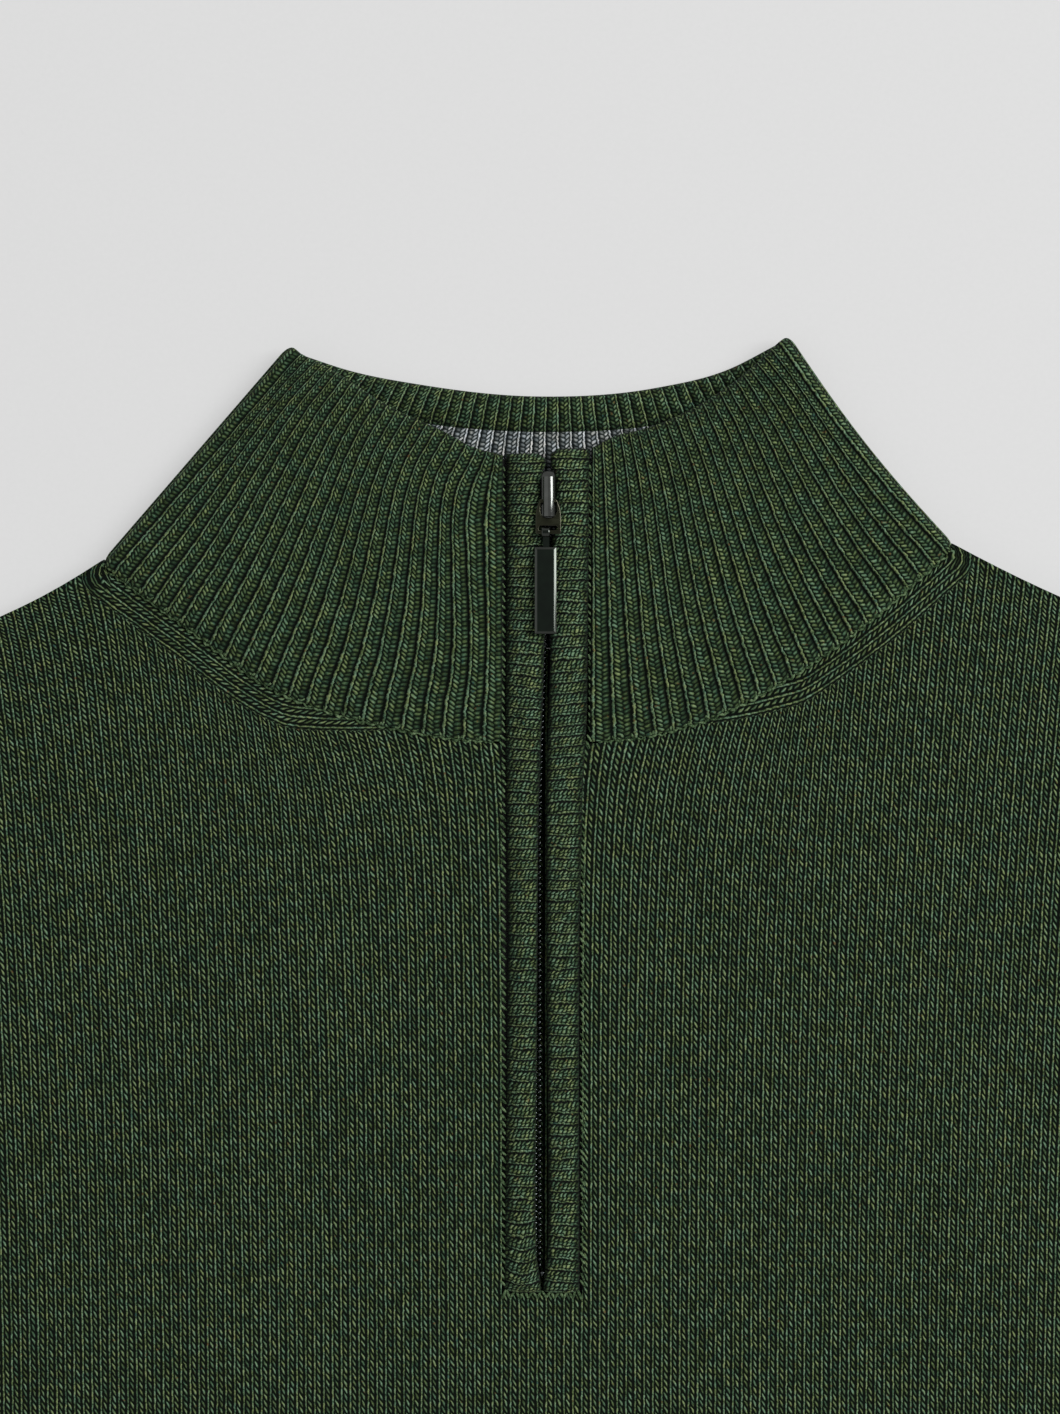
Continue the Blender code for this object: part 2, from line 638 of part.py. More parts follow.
def collar_sheet(rows, faces, columns, front_ribs, back_ribs, fold_ribs):
    """One face of the collar, from the zip's left side round the back to its right side.

    faces is the half height at each row; columns counts the left, back and right steps; the rib
    heights raise every second column.
    """
    left_steps, back_steps, right_steps = columns
    face = np.asarray(faces, float)[:, None]
    parts = []
    shares = np.linspace(0.0, 1.0, left_steps + 1)
    raised = np.where(np.arange(left_steps + 1) % 2 == 1, 1.0, 0.0) * np.asarray(front_ribs)[:, None]
    plan = half_collar(COLLAR_LEFT, 0.0, zip_edge_of(COLLAR_LEFT), shares, rows)
    parts.append(lift_points(plan, COLLAR_MIDDLE + face + raised + puffed(shares, rows)))
    parts.append(fold_points(COLLAR_LEFT, 0.0, rows, -1.0, np.asarray(faces), fold_ribs))
    shares = np.linspace(0.0, 1.0, back_steps + 1)
    raised = np.where(np.arange(back_steps + 1) % 2 == 1, 1.0, 0.0) * np.asarray(back_ribs)[:, None]
    parts.append(lift_points(back_collar(shares, rows), COLLAR_MIDDLE - face + raised))
    fold = fold_points(COLLAR_RIGHT, RIGHT_FOLD_BOW, rows, 1.0, np.asarray(faces), fold_ribs)
    parts.append(fold[:, ::-1])
    shares = np.linspace(0.0, 1.0, right_steps + 1)
    raised = np.where(np.arange(right_steps + 1) % 2 == 1, 1.0, 0.0) * np.asarray(front_ribs)[:, None]
    plan = half_collar(COLLAR_RIGHT, RIGHT_FOLD_BOW, zip_edge_of(COLLAR_RIGHT), shares, rows)
    heights = COLLAR_MIDDLE + face + raised + puffed(shares, rows)
    parts.append(lift_points(plan, heights)[:, ::-1])
    return np.concatenate(parts, axis=1)


def make_collar():
    """The ribbed outer strip of the collar, with its top edge turned in."""
    rows = np.array(COLLAR_ROWS)
    level = np.ones(len(rows))
    plain = 0.0 * level
    outer = np.where(rows < 1.0, OUTER_FACE, ROUNDED_FACE[0])
    inner = np.where(rows < TURN_IN, INNER_FACE, TURNED_FACE)
    inner = np.where(rows < 1.0, inner, ROUNDED_FACE[1])
    front_ribs = RIB_HEIGHT * level
    band_ribs = np.where(rows < TURN_IN, 0.0, BAND_RIB_HEIGHT)
    columns = (2 * LEFT_RIBS, BACK_RIBS // 2, 2 * RIGHT_RIBS)
    over = collar_sheet(rows, outer, columns, front_ribs, plain, front_ribs)
    columns = (LEFT_RIBS, 2 * BACK_RIBS, RIGHT_RIBS)
    under = collar_sheet(rows, inner, columns, plain, band_ribs, plain)
    fold = [(1, 1)] * 6
    spans = [(2, 1)] * LEFT_RIBS + fold + [(1, 4)] * (BACK_RIBS // 2) + fold + [(2, 1)] * RIGHT_RIBS
    wall("collar", over, under, (GREEN, 0.9), spans=spans)


def make_inner_collar():
    """The grey layer inside the collar, below the turned-in edge."""
    rows = np.array(LINING_ROWS)
    level = np.ones(len(rows))
    plain = 0.0 * level
    columns = (LEFT_RIBS, BACK_RIBS // 2, RIGHT_RIBS)
    over = collar_sheet(rows, LINING_FACES[0] * level, columns, plain, plain, plain)
    back_ribs = LINING_RIB_HEIGHT * level
    columns = (LEFT_RIBS, 2 * BACK_RIBS, RIGHT_RIBS)
    under = collar_sheet(rows, LINING_FACES[1] * level, columns, plain, back_ribs, plain)
    fold = [(1, 1)] * 6
    spans = [(1, 1)] * LEFT_RIBS + fold + [(1, 4)] * (BACK_RIBS // 2) + fold + [(1, 1)] * RIGHT_RIBS
    wall("inner_collar", over, under, (GREY, 0.9), spans=spans)


# Zip


def split_line(y):
    """Middle of the gap between the facings, which wanders a little."""
    start, end = SPLIT_TURN
    share = smooth((np.asarray(y, float) - start) / (end - start))
    return SPLIT_X[0] + (SPLIT_X[1] - SPLIT_X[0]) * share


def slider_zone(y):
    """1 where the slider spreads the facings, 0 away from it."""
    start, full, waning, end = SPREAD
    y = np.asarray(y, float)
    return smooth((y - start) / (full - start)) * smooth((end - y) / (end - waning))


def facing_plan(side, outer_edge, top_y, ys):
    """Plan of a facing at the given heights, from the gap outwards."""
    inner_x = split_line(ys) + side * (SPLIT_HALF + SPREAD_WIDTH * slider_zone(ys))
    outer_x = outer_edge[0] + (outer_edge[1] - outer_edge[0]) * np.clip(ys / top_y, 0.0, 1.0)
    x = inner_x + (outer_x - inner_x) * np.array(FACING_PROFILE)[:, :1]
    return np.stack([x, np.broadcast_to(ys, x.shape)], axis=-1)


def make_facing(name, side, outer_edge, top_y):
    """One strip of rib turned sideways, over one half of the zip."""
    fine_y = np.linspace(FACING_END, top_y, 2 * FACING_RIBS + 1)
    plain_y = fine_y[::4]
    _, arch, ribbed, near = np.array(FACING_PROFILE).T[:, :, None]
    under = zip_rest(plain_y) + TAPE[1] + SEAM_GAP + SPREAD_LIFT * slider_zone(plain_y) * near
    lifted = slider_zone(fine_y) * near
    over = zip_rest(fine_y) + TAPE[1] + SEAM_GAP + SPREAD_LIFT * lifted
    over = over + FACING_THICKNESS * (1.0 - SPREAD_PRESS * lifted) + arch
    over = over + ribbed_row(FACING_RIBS, FACING_CREST) * ribbed
    top = lift_points(facing_plan(side, outer_edge, top_y, fine_y), over)
    low = lift_points(facing_plan(side, outer_edge, top_y, plain_y), under)
    wall(name, top, low, (GREEN, 0.9), spans=[(4, 1)] * (FACING_RIBS // 2))


def make_zip():
    """The two tapes and the closed coil between them."""
    ys = np.array(TAPE_ROWS)
    inside = ys > SLIDER_SPAN[0]
    middle = np.where(inside, BRIDGE_X, split_line(ys))
    inset = np.where(inside, TAPE_IN_SLIDER, CHAIN_HALF + SEAM_GAP)
    rest = zip_rest(ys)
    for name, side, outer_x in (("left", -1.0, TAPE_OUTER[0]), ("right", 1.0, TAPE_OUTER[1])):
        inner = np.stack([middle + side * inset, ys], axis=-1)
        outer = np.stack([np.full(len(ys), outer_x), ys], axis=-1)
        plan = np.stack([inner, outer])
        over = lift_points(plan, rest + TAPE[1])
        wall("zip_tape_" + name, over, lift_points(plan, rest + TAPE[0]), (BLACK, 0.7))
    ys = np.append(ys[~inside], SLIDER_SPAN[0] - SEAM_GAP)
    half = np.append(np.full(len(ys) - 1, CHAIN_HALF), CHAIN_MOUTH)
    plan = np.stack([split_line(ys) + side * half for side in (-1.0, 1.0)])
    plan = np.stack([plan, np.stack([ys, ys])], axis=-1)
    rest = zip_rest(ys)
    over = lift_points(plan, rest + CHAIN[1])
    wall("zip_chain", over, lift_points(plan, rest + CHAIN[0]), (BLACK, 0.5))


def make_slider():
    """The slider: two plates round the tape, a wedge between them, and the bridge on top."""
    rest = FRONT_REST + ZIP_LIFT
    left = BRIDGE_X - SLIDER_HALF
    right = BRIDGE_X + SLIDER_HALF
    foot, end = SLIDER_SPAN
    low, high = SLIDER_PLATES
    slider = box("slider", (left, foot, rest + low[0]), (right, end, rest + low[1]), (SILVER, 0.3, 1.0))
    plate = box("plate", (left, foot, rest + high[0]), (right, end, rest + high[1]))
    bevel_edges(slider, SLIDER_ROUNDING)
    bevel_edges(plate, SLIDER_ROUNDING)
    wedge = box(
        "wedge",
        (BRIDGE_X - WEDGE_HALF, foot + WEDGE_ENDS[0], rest + WEDGE_HEIGHTS[0]),
        (BRIDGE_X + WEDGE_HALF, end - WEDGE_ENDS[1], rest + WEDGE_HEIGHTS[1]),
    )
    bridge = box(
        "bridge",
        (BRIDGE_X - BRIDGE_HALF, BRIDGE_SPAN[0], rest + WEDGE_HEIGHTS[1]),
        (BRIDGE_X + BRIDGE_HALF, BRIDGE_SPAN[1], AXLE_Z + BRIDGE_TOP),
    )
    bevel_edges(bridge, BRIDGE_ROUNDING, segments=2)
    hole = box(
        "hole",
        (BRIDGE_X - CUTTER_REACH, BRIDGE_SPAN[0] + BRIDGE_LEG, AXLE_Z - BRIDGE_HOLE),
        (BRIDGE_X + CUTTER_REACH, BRIDGE_SPAN[1] - BRIDGE_LEG, AXLE_Z + BRIDGE_HOLE),
    )
    combine(bridge, hole, "DIFFERENCE")
    for shape in (plate, wedge, bridge):
        combine(slider, shape, "UNION")


def make_bail():
    """The stirrup: a bar through the bridge, two arms, a plate, and a bar for the tab."""
    top = BAIL_AXLE_Y + BAR / 2
    bottom = TAB_AXLE_Y - BAR / 2
    left = BAIL_X - BAIL_HALF
    right = BAIL_X + BAIL_HALF
    shoulder = top - BAIL_SHOULDER
    outline = (
        (BAIL_X + BAIL_TOP[0], top),
        (BAIL_X + BAIL_TOP[1], top),
        (right, shoulder),
        (right, bottom),
        (left, bottom),
        (left, shoulder),
    )
    bail = slab("bail", outline, AXLE_Z - BAR / 2, BAR, (GUNMETAL, 0.35, 1.0))
    low = AXLE_Z - CUTTER_REACH
    high = AXLE_Z + CUTTER_REACH
    half, foot = BAIL_OPENING
    opening = box("opening", (BRIDGE_X - half, foot, low), (BRIDGE_X + half, top - BAR, high))
    half, end = BAIL_SLOT
    slot = box("slot", (BAIL_X - half, bottom + BAR, low), (BAIL_X + half, end, high))
    combine(bail, opening, "DIFFERENCE")
    combine(bail, slot, "DIFFERENCE")
    set_origin(bail, BAIL_X, BAIL_AXLE_Y, AXLE_Z)


def make_pull_tab():
    """The pull tab: a bevelled bar, a neck, and a ring round the bail's lower bar."""
    low = AXLE_Z - TAB_THICKNESS / 2
    foot, end = TAB_SPAN
    tab = box(
        "pull_tab",
        (TAB_X - TAB_HALF, foot, low),
        (TAB_X + TAB_HALF, end, low + TAB_THICKNESS),
        (GUNMETAL, 0.35, 1.0),
    )
    bevel_edges(tab, TAB_ROUNDING)
    half, rise = TAB_NECK
    radius, bore_radius = TAB_RING
    neck = box(
        "neck",
        (TAB_X - half, end - TAB_NECK_ROOT, AXLE_Z - rise),
        (TAB_X + half, TAB_AXLE_Y - (radius + bore_radius) / 2, AXLE_Z + rise),
    )
    ring = round_bar("ring", radius, half)
    bore = round_bar("bore", bore_radius, CUTTER_REACH)
    combine(tab, neck, "UNION")
    combine(tab, ring, "UNION")
    combine(tab, bore, "DIFFERENCE")
    set_origin(tab, TAB_X, TAB_AXLE_Y, AXLE_Z)


def round_bar(name, radius, half_length):
    """A round bar along X on the tab's axle."""
    mesh = bmesh.new()
    place = Matrix.Translation(Vector(to_metres((TAB_X, TAB_AXLE_Y, AXLE_Z))))
    turn = Matrix.Rotation(math.pi / 2, 4, "Y")
    bmesh.ops.create_cone(
        mesh,
        cap_ends=True,
        segments=16,
        radius1=radius / 1000.0,
        radius2=radius / 1000.0,
        depth=2.0 * half_length / 1000.0,
        matrix=place @ turn,
    )
    return add_object(name, mesh, (GUNMETAL, 0.35, 1.0))


def main():
    for old in list(bpy.data.objects):
        bpy.data.objects.remove(old, do_unlink=True)
    make_back()
    make_front()
    make_hem()
    for name, side in (("left", -1.0), ("right", 1.0)):
        make_sleeve("sleeve_" + name, side)
        make_cuff("cuff_" + name, side)
    make_collar()
    make_inner_collar()
    make_facing("placket_left", -1.0, FACING_LEFT, FACING_TOP_LEFT)
    make_facing("placket_right", 1.0, FACING_RIGHT, FACING_TOP_RIGHT)
    make_zip()
    make_slider()
    make_bail()
    make_pull_tab()


main()
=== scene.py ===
"""A quarter zip sweater in marled green wool, laid flat with its front up.

Lengths in the tables are millimetres from the point where the collar seam meets the zip, with +X
to the wearer's left, +Y towards the head and +Z up from the surface. The knit's own coordinates
count wales across and courses along each piece of cloth.
"""

import logging
import math
from dataclasses import dataclass, field, replace
from enum import Enum
from typing import Callable, Optional, Sequence, Union

import bmesh
import bpy
import numpy as np
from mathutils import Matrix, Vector


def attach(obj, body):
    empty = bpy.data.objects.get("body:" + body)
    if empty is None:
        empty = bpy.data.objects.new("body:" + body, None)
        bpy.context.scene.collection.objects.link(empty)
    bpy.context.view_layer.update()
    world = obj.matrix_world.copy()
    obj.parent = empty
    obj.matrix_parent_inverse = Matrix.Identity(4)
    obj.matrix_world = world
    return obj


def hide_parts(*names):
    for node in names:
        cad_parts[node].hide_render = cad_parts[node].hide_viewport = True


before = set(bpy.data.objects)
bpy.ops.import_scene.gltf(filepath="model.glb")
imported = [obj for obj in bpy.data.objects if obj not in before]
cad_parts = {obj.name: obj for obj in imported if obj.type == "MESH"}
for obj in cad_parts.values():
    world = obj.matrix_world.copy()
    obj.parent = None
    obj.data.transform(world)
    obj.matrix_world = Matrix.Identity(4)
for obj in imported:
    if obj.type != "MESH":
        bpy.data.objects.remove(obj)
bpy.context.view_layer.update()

logging.basicConfig(level=logging.INFO, format="%(message)s")
log = logging.getLogger("sweater")

MIDDLE_Y = 275.0  # from the tables' zero to the middle of the garment, along Y
WALL = 2.2  # thickness of the cloth
SEAM_GAP = 0.3  # between pieces that meet
FRONT_REST = WALL + SEAM_GAP  # underside of the front where it lies on the back
FOLD_MIDDLE = FRONT_REST - SEAM_GAP / 2  # height of the sleeves' folded edges

WALE = 2.13  # pitch of the body's wales
COURSE = 1.60  # pitch of the body's courses
RIB_COURSE = 1.05  # pitch of the courses along the ribs
STRIP_COURSE = 1.0  # pitch of the courses across the placket's strips
VALLEY = 0.91  # where a rib's groove falls between two of its light lines
STRIP_VALLEY = 0.27  # the same for the placket's strips
BAND_EDGE = (3.46, 3.50)  # wales from the neckline where the fashioned band ends
MIRROR = np.array([-1.0, 1.0])  # takes a plan's points to the other side

Rows = Sequence[tuple[float, ...]]
Number = Union[int, float, "Value"]


# Sizes shared by the pieces of cloth

SHOULDER_POINT = (225.0, -9.0)
SHOULDER_RISE = (-2.6, -1.2)  # fullness of the left and the right shoulder near the neck
UNDERARM = (268.0, -226.0)
COLUMN_SPREAD = 0.85  # below 1 sets the panels' columns closer at the sides
NECK_GAPS = (0.42, 0.04)  # between the neckline and the collar, on the front and on the back
PANEL_CORNERS = ((-106.3, 44.0), (98.1, 47.9))  # where the panels reach past the collar's folds
ARMHOLE: Rows = (  # share down, x, y
    (0.00, 225.0, -9.0),
    (0.30, 213.0, -72.0),
    (0.60, 221.0, -142.0),
    (0.85, 248.5, -195.0),
    (1.00, 268.0, -226.0),
)
SIDE_SEAM: Rows = (  # share down, x, y
    (0.00, 268.0, -226.0),
    (0.40, 269.0, -370.0),
    (0.80, 266.0, -515.0),
    (1.00, 251.0, -582.0),
)
COLLAR_LEFT: Rows = (  # share from the zip to the fold, the seam's x and y, the top edge's x and y
    (0.00, -10.4, 0.0, -10.0, 68.8),
    (0.12, -23.5, 1.2, -17.2, 70.8),
    (0.25, -38.2, 3.8, -24.2, 74.5),
    (0.50, -64.0, 12.1, -37.4, 80.6),
    (0.75, -85.2, 27.0, -49.2, 88.2),
    (1.00, -104.1, 40.8, -58.7, 93.3),
)
COLLAR_RIGHT: Rows = (
    (0.00, 10.7, 0.0, 11.2, 70.6),
    (0.12, 24.0, 1.4, 17.2, 73.6),
    (0.25, 36.4, 4.6, 23.3, 75.0),
    (0.50, 58.5, 15.5, 35.6, 80.2),
    (0.75, 78.2, 29.4, 46.6, 87.4),
    (1.00, 96.0, 44.8, 55.8, 95.7),
)
BACK_NECK: Rows = (  # share from the left fold to the right, x, y
    (0.00, -104.1, 40.8),
    (0.15, -78.0, 28.5),
    (0.50, -4.0, 22.5),
    (0.85, 70.0, 31.0),
    (1.00, 96.0, 44.8),
)
BACK_EDGE: Rows = (
    (0.00, -58.7, 93.3),
    (0.10, -47.4, 89.6),
    (0.25, -31.0, 86.3),
    (0.50, -2.0, 83.3),
    (0.75, 27.0, 85.4),
    (0.90, 44.2, 89.8),
    (1.00, 55.8, 95.7),
)

SLOT_LEFT = -10.4  # sides of the slit for the zip
SLOT_RIGHT = 9.0
SLOT_END = -132.6  # its foot
NECK_LIFT = 1.7  # how far the collar's seam raises the front
NECK_SLOPE = 45.0  # how far from the seam the front slopes down
PLACKET_SLOPE = 27.0  # the same beside the slit
FOOT_SLOPE = 16.0  # and below it
TAPE_LOW = 1.0  # underside of the zip's tapes over what they lie on
TAPE_TOP = 1.7  # and their top
ZIP_RISE = 1.5  # how much higher the zip lies on the collar than on the body
ZIP_SLOPE = 60.0  # length of the slope between the two
SPLIT_X = -0.7  # middle of the gap between the strips, on the body
SPLIT_SHIFT = 1.5  # how far it moves on its way to the collar
SPLIT_TURN = (-25.0, 65.0)  # where it begins to move, and over what length
SPREAD = (47.0, 5.0, 66.5, 3.0)  # the slider spreads the strips: start, its rise, end, its fall

FOLDS: Rows = (  # the largest soft folds: middle x and y, angle, length, width, height
    (214.0, -232.0, -52.0, 150.0, 26.0, 1.5),
    (176.0, -262.0, -24.0, 120.0, 30.0, 1.0),
    (-220.0, -240.0, 233.0, 135.0, 24.0, 1.3),
    (-186.0, -300.0, 250.0, 150.0, 34.0, 1.1),
    (338.0, -205.0, -38.0, 170.0, 22.0, 1.5),
    (480.0, -330.0, -72.0, 90.0, 20.0, 1.3),
    (-330.0, -196.0, 216.0, 150.0, 24.0, 1.4),
    (-488.0, -338.0, 258.0, 80.0, 18.0, 1.4),
    (-120.0, -520.0, 262.0, 140.0, 36.0, 0.9),
    (92.0, -500.0, 275.0, 170.0, 40.0, 1.0),
)
SOFT_WAVES: Rows = (  # low waves in the front, in the same columns
    (-64.0, -62.0, 258.0, 210.0, 46.0, 0.9),
    (-100.0, -130.0, 250.0, 150.0, 40.0, 0.8),
    (-38.0, -96.0, 268.0, 150.0, 26.0, -0.6),
    (52.0, -70.0, 278.0, 190.0, 44.0, 0.8),
    (98.0, -100.0, 292.0, 170.0, 40.0, 0.9),
    (30.0, -150.0, 270.0, 90.0, 24.0, -0.5),
    (-10.0, -190.0, 10.0, 130.0, 60.0, 0.7),
    (0.0, -150.0, 0.0, 64.0, 30.0, -1.1),
    (-150.0, -40.0, 224.0, 110.0, 36.0, 0.8),
    (146.0, -30.0, -48.0, 110.0, 36.0, 0.8),
    (-60.0, -350.0, 200.0, 180.0, 60.0, 0.8),
    (120.0, -380.0, -20.0, 190.0, 60.0, 0.9),
    (-190.0, -430.0, 262.0, 200.0, 44.0, 0.8),
    (205.0, -440.0, 276.0, 200.0, 44.0, 0.8),
)


# Curves and grids of points


def smooth(share: np.ndarray) -> np.ndarray:
    """Rises from 0 to 1 with level ends."""
    share = np.clip(share, 0.0, 1.0)
    return share * share * (3.0 - 2.0 * share)


def through(table: Rows, at: np.ndarray) -> np.ndarray:
    """Reads a smooth curve through a table's rows.

    Args:
        table: rows of a share and the values there.
        at: the shares to read at.

    Returns:
        One row of values for each share.
    """
    rows = np.asarray(table, float)
    knots = rows[:, 0]
    values = rows[:, 1:]
    slopes = np.gradient(values, knots, axis=0)
    at = np.asarray(at, float)
    spot = np.clip(np.searchsorted(knots, at, side="right") - 1, 0, len(knots) - 2)
    width = (knots[spot + 1] - knots[spot])[:, None]
    part = (at[:, None] - knots[spot][:, None]) / width
    start = values[spot] + slopes[spot] * width * part * (1.0 - part) ** 2
    level = part * part * (3.0 - 2.0 * part)
    bend = slopes[spot + 1] * width * part * part * (part - 1.0)
    return start + (values[spot + 1] - values[spot]) * level + bend


def patch(
    lower: np.ndarray,
    upper: np.ndarray,
    left: np.ndarray,
    right: np.ndarray,
    across: np.ndarray,
    along: np.ndarray,
) -> np.ndarray:
    """Fills four edges with rows of points that follow them.

    Args:
        lower: points of the first row.
        upper: points of the last row.
        left: points of the first column.
        right: points of the last column.
        across: share of each column.
        along: share of each row.

    Returns:
        The points, rows by columns.
    """
    s = np.asarray(across, float)[None, :, None]
    t = np.asarray(along, float)[:, None, None]
    rows = (1 - t) * lower[None] + t * upper[None]
    columns = (1 - s) * left[:, None] + s * right[:, None]
    corners = (1 - s) * (1 - t) * lower[0] + s * (1 - t) * lower[-1]
    corners = corners + (1 - s) * t * upper[0] + s * t * upper[-1]
    return rows + columns - corners


def lift_points(plan: np.ndarray, height: Union[float, np.ndarray]) -> np.ndarray:
    """Gives each point of a plan its height."""
    height = np.broadcast_to(np.asarray(height, float), plan.shape[:-1])
    return np.concatenate([plan, height[..., None]], axis=-1)


def to_metres(points: np.ndarray) -> np.ndarray:
    """Moves points from the tables' frame to the model's own."""
    return (np.asarray(points, float) + np.array([0.0, MIDDLE_Y, 0.0])) / 1000.0


def run_lengths(points: np.ndarray, axis: int) -> np.ndarray:
    """Length along a grid's rows or columns, from its first point.

    Args:
        points: rows and columns of points, or one line of them.
        axis: 0 to run along the columns, 1 along the rows.

    Returns:
        The length at each point.
    """
    steps = np.linalg.norm(np.diff(points, axis=axis), axis=-1)
    start = np.zeros_like(np.take(steps, [0], axis=axis))
    return np.concatenate([start, np.cumsum(steps, axis=axis)], axis=axis)


def folds_at(plan: np.ndarray, table: Rows) -> np.ndarray:
    """Height that soft folds add at each point of a plan.

    Args:
        plan: points.
        table: the folds' middle x and y, angle, length, width and height.

    Returns:
        The added heights.
    """
    total = np.zeros(plan.shape[:-1])
    for x, y, angle, length, width, height in table:
        turn = math.radians(angle)
        dx = plan[..., 0] - x
        dy = plan[..., 1] - y
        along = (dx * math.cos(turn) + dy * math.sin(turn)) / (length / 2)
        across = (dy * math.cos(turn) - dx * math.sin(turn)) / (width / 2)
        total += height * smooth(1.0 - np.abs(along)) * smooth(1.0 - np.abs(across))
    return total


def near(distance: np.ndarray, reach: float) -> np.ndarray:
    """1 at no distance, falling evenly to 0 at the reach."""
    return np.clip(1.0 - distance / reach, 0.0, 1.0)


def zip_rest(y: np.ndarray) -> np.ndarray:
    """Height of what lies under the zip: it falls from the collar to the body."""
    return FRONT_REST + ZIP_RISE * smooth((np.asarray(y, float) + ZIP_SLOPE) / ZIP_SLOPE)


def split_line(y: np.ndarray) -> np.ndarray:
    """Middle of the gap between the placket's strips."""
    start, length = SPLIT_TURN
    return SPLIT_X + SPLIT_SHIFT * smooth((np.asarray(y, float) - start) / length)


def slider_zone(y: np.ndarray) -> np.ndarray:
    """1 where the slider spreads the placket's strips, 0 away from it."""
    start, rise, end, fall = SPREAD
    return smooth((y - start) / rise) * smooth((end - y) / fall)


# Shapes


def placed(name: str, data: bpy.types.ID) -> bpy.types.Object:
    """A new object with this data, linked to the scene.

    Args:
        name: the object's name.
        data: its mesh, curve, light or camera.

    Returns:
        The object.
    """
    made = bpy.data.objects.new(name, data)
    bpy.context.scene.collection.objects.link(made)
    return made


def pick(piece: bpy.types.Object) -> None:
    """Makes a piece the only one selected, and the active one.

    Args:
        piece: the piece.
    """
    bpy.ops.object.select_all(action="DESELECT")
    piece.select_set(True)
    bpy.context.view_layer.objects.active = piece


def smooth_shade(piece: bpy.types.Object, angle: float = 45.0) -> None:
    """Shades a piece smoothly, but for edges sharper than the angle."""
    pick(piece)
    bpy.ops.object.shade_smooth_by_angle(angle=math.radians(angle))


def apply_modifier(piece: bpy.types.Object, name: str, kind: str, **settings: object) -> None:
    """Adds a modifier with its settings and applies it.

    Args:
        piece: the piece.
        name: the modifier's name.
        kind: its type.
        settings: its settings.
    """
    modifier = piece.modifiers.new(name, kind)
    for key, value in settings.items():
        setattr(modifier, key, value)
    pick(piece)
    bpy.ops.object.modifier_apply(modifier=name)


def bevel(piece: bpy.types.Object, width: float, segments: int = 3, sharper: float = 30.0) -> None:
    """Rounds the edges that are sharper than an angle, by a width in millimetres."""
    limits = {"limit_method": "ANGLE", "angle_limit": math.radians(sharper)}
    apply_modifier(piece, "Rounded", "BEVEL", width=width / 1000.0, segments=segments, **limits)


def combine(body: bpy.types.Object, other: bpy.types.Object, operation: str) -> None:
    """Joins another shape to a body, or cuts it out, and removes it."""
    apply_modifier(body, other.name, "BOOLEAN", operation=operation, solver="EXACT", object=other)
    bpy.data.objects.remove(other, do_unlink=True)


def named(name: str) -> bpy.types.Object:
    """The shape just added, with its name, and its place in its mesh.

    Args:
        name: the shape's name.

    Returns:
        The shape.
    """
    made = bpy.context.active_object
    made.name = name
    bpy.ops.object.transform_apply(location=True, rotation=True, scale=True)
    return made


def block(name: str, low: Sequence[float], high: Sequence[float]) -> bpy.types.Object:
    """A cube between its lowest and its highest corner, in the tables' millimetres.

    Args:
        name: the object's name.
        low: its lowest corner.
        high: its highest corner.

    Returns:
        The object.
    """
    low_m = to_metres(np.array(low))
    high_m = to_metres(np.array(high))
    bpy.ops.object.select_all(action="DESELECT")
    bpy.ops.mesh.primitive_cube_add(size=1.0, location=(low_m + high_m) / 2, scale=high_m - low_m)
    return named(name)


def bar(
    name: str,
    middle: Sequence[float],
    radius: float,
    length: float,
    turn: tuple[float, float, float],
    flatness: float = 1.0,
    sides: int = 32,
) -> bpy.types.Object:
    """A round bar.

    Args:
        name: the object's name.
        middle: its middle, in the tables' millimetres.
        radius: its radius.
        length: its length.
        turn: how it is turned from standing upright.
        flatness: below 1 makes it oval.
        sides: its flat sides.

    Returns:
        The object.
    """
    bpy.ops.object.select_all(action="DESELECT")
    bpy.ops.mesh.primitive_cylinder_add(
        vertices=sides,
        radius=radius / 1000.0,
        depth=length / 1000.0,
        location=to_metres(np.array(middle)),
        rotation=turn,
        scale=(1.0, flatness, 1.0),
    )
    return named(name)


def taken(shape: bpy.types.Object) -> tuple[np.ndarray, list[list[int]]]:
    """Points and faces of a shape, which is then removed.

    Args:
        shape: the shape.

    Returns:
        Its points, and the corners of each face.
    """
    points = np.array([vertex.co for vertex in shape.data.vertices])
    faces = [list(face.vertices) for face in shape.data.polygons]
    bpy.data.objects.remove(shape, do_unlink=True)
    return points, faces


def join(name: str, parts: Sequence[bpy.types.Object]) -> bpy.types.Object:
    """Joins pieces into one.

    Args:
        name: the name of the whole.
        parts: the pieces.

    Returns:
        The whole.
    """
    pick(parts[0])
    for part in parts:
        part.select_set(True)
    bpy.ops.object.join()
    made = bpy.context.active_object
    made.name = name
    return made


def by_side(name: str, side: float) -> str:
    """Name of the left piece, or of the right one."""
    return name + ("_left" if side < 0 else "_right")


@dataclass
class Copies:
    """Many small shapes in one mesh.

    Attributes:
        points: points of each copy.
        faces: corners of each face, counted over all copies.
        count: how many points there are.
    """

    points: list[np.ndarray] = field(default_factory=list)
    faces: list[list[int]] = field(default_factory=list)
    count: int = 0

    def add(self, points: np.ndarray, faces: list[list[int]]) -> None:
        """Adds a copy.

        Args:
            points: its points.
            faces: the corners of its faces, counted from 0.
        """
        self.points.append(points)
        self.faces.extend([[corner + self.count for corner in face] for face in faces])
        self.count += len(points)

    def make(self, name: str) -> bpy.types.Object:
        """Builds and shades the mesh.

        Args:
            name: the piece's name.

        Returns:
            The piece.
        """
        mesh = bpy.data.meshes.new(name)
        mesh.from_pydata(to_metres(np.concatenate(self.points)).tolist(), [], self.faces)
        piece = placed(name, mesh)
        smooth_shade(piece, 80.0)
        return piece


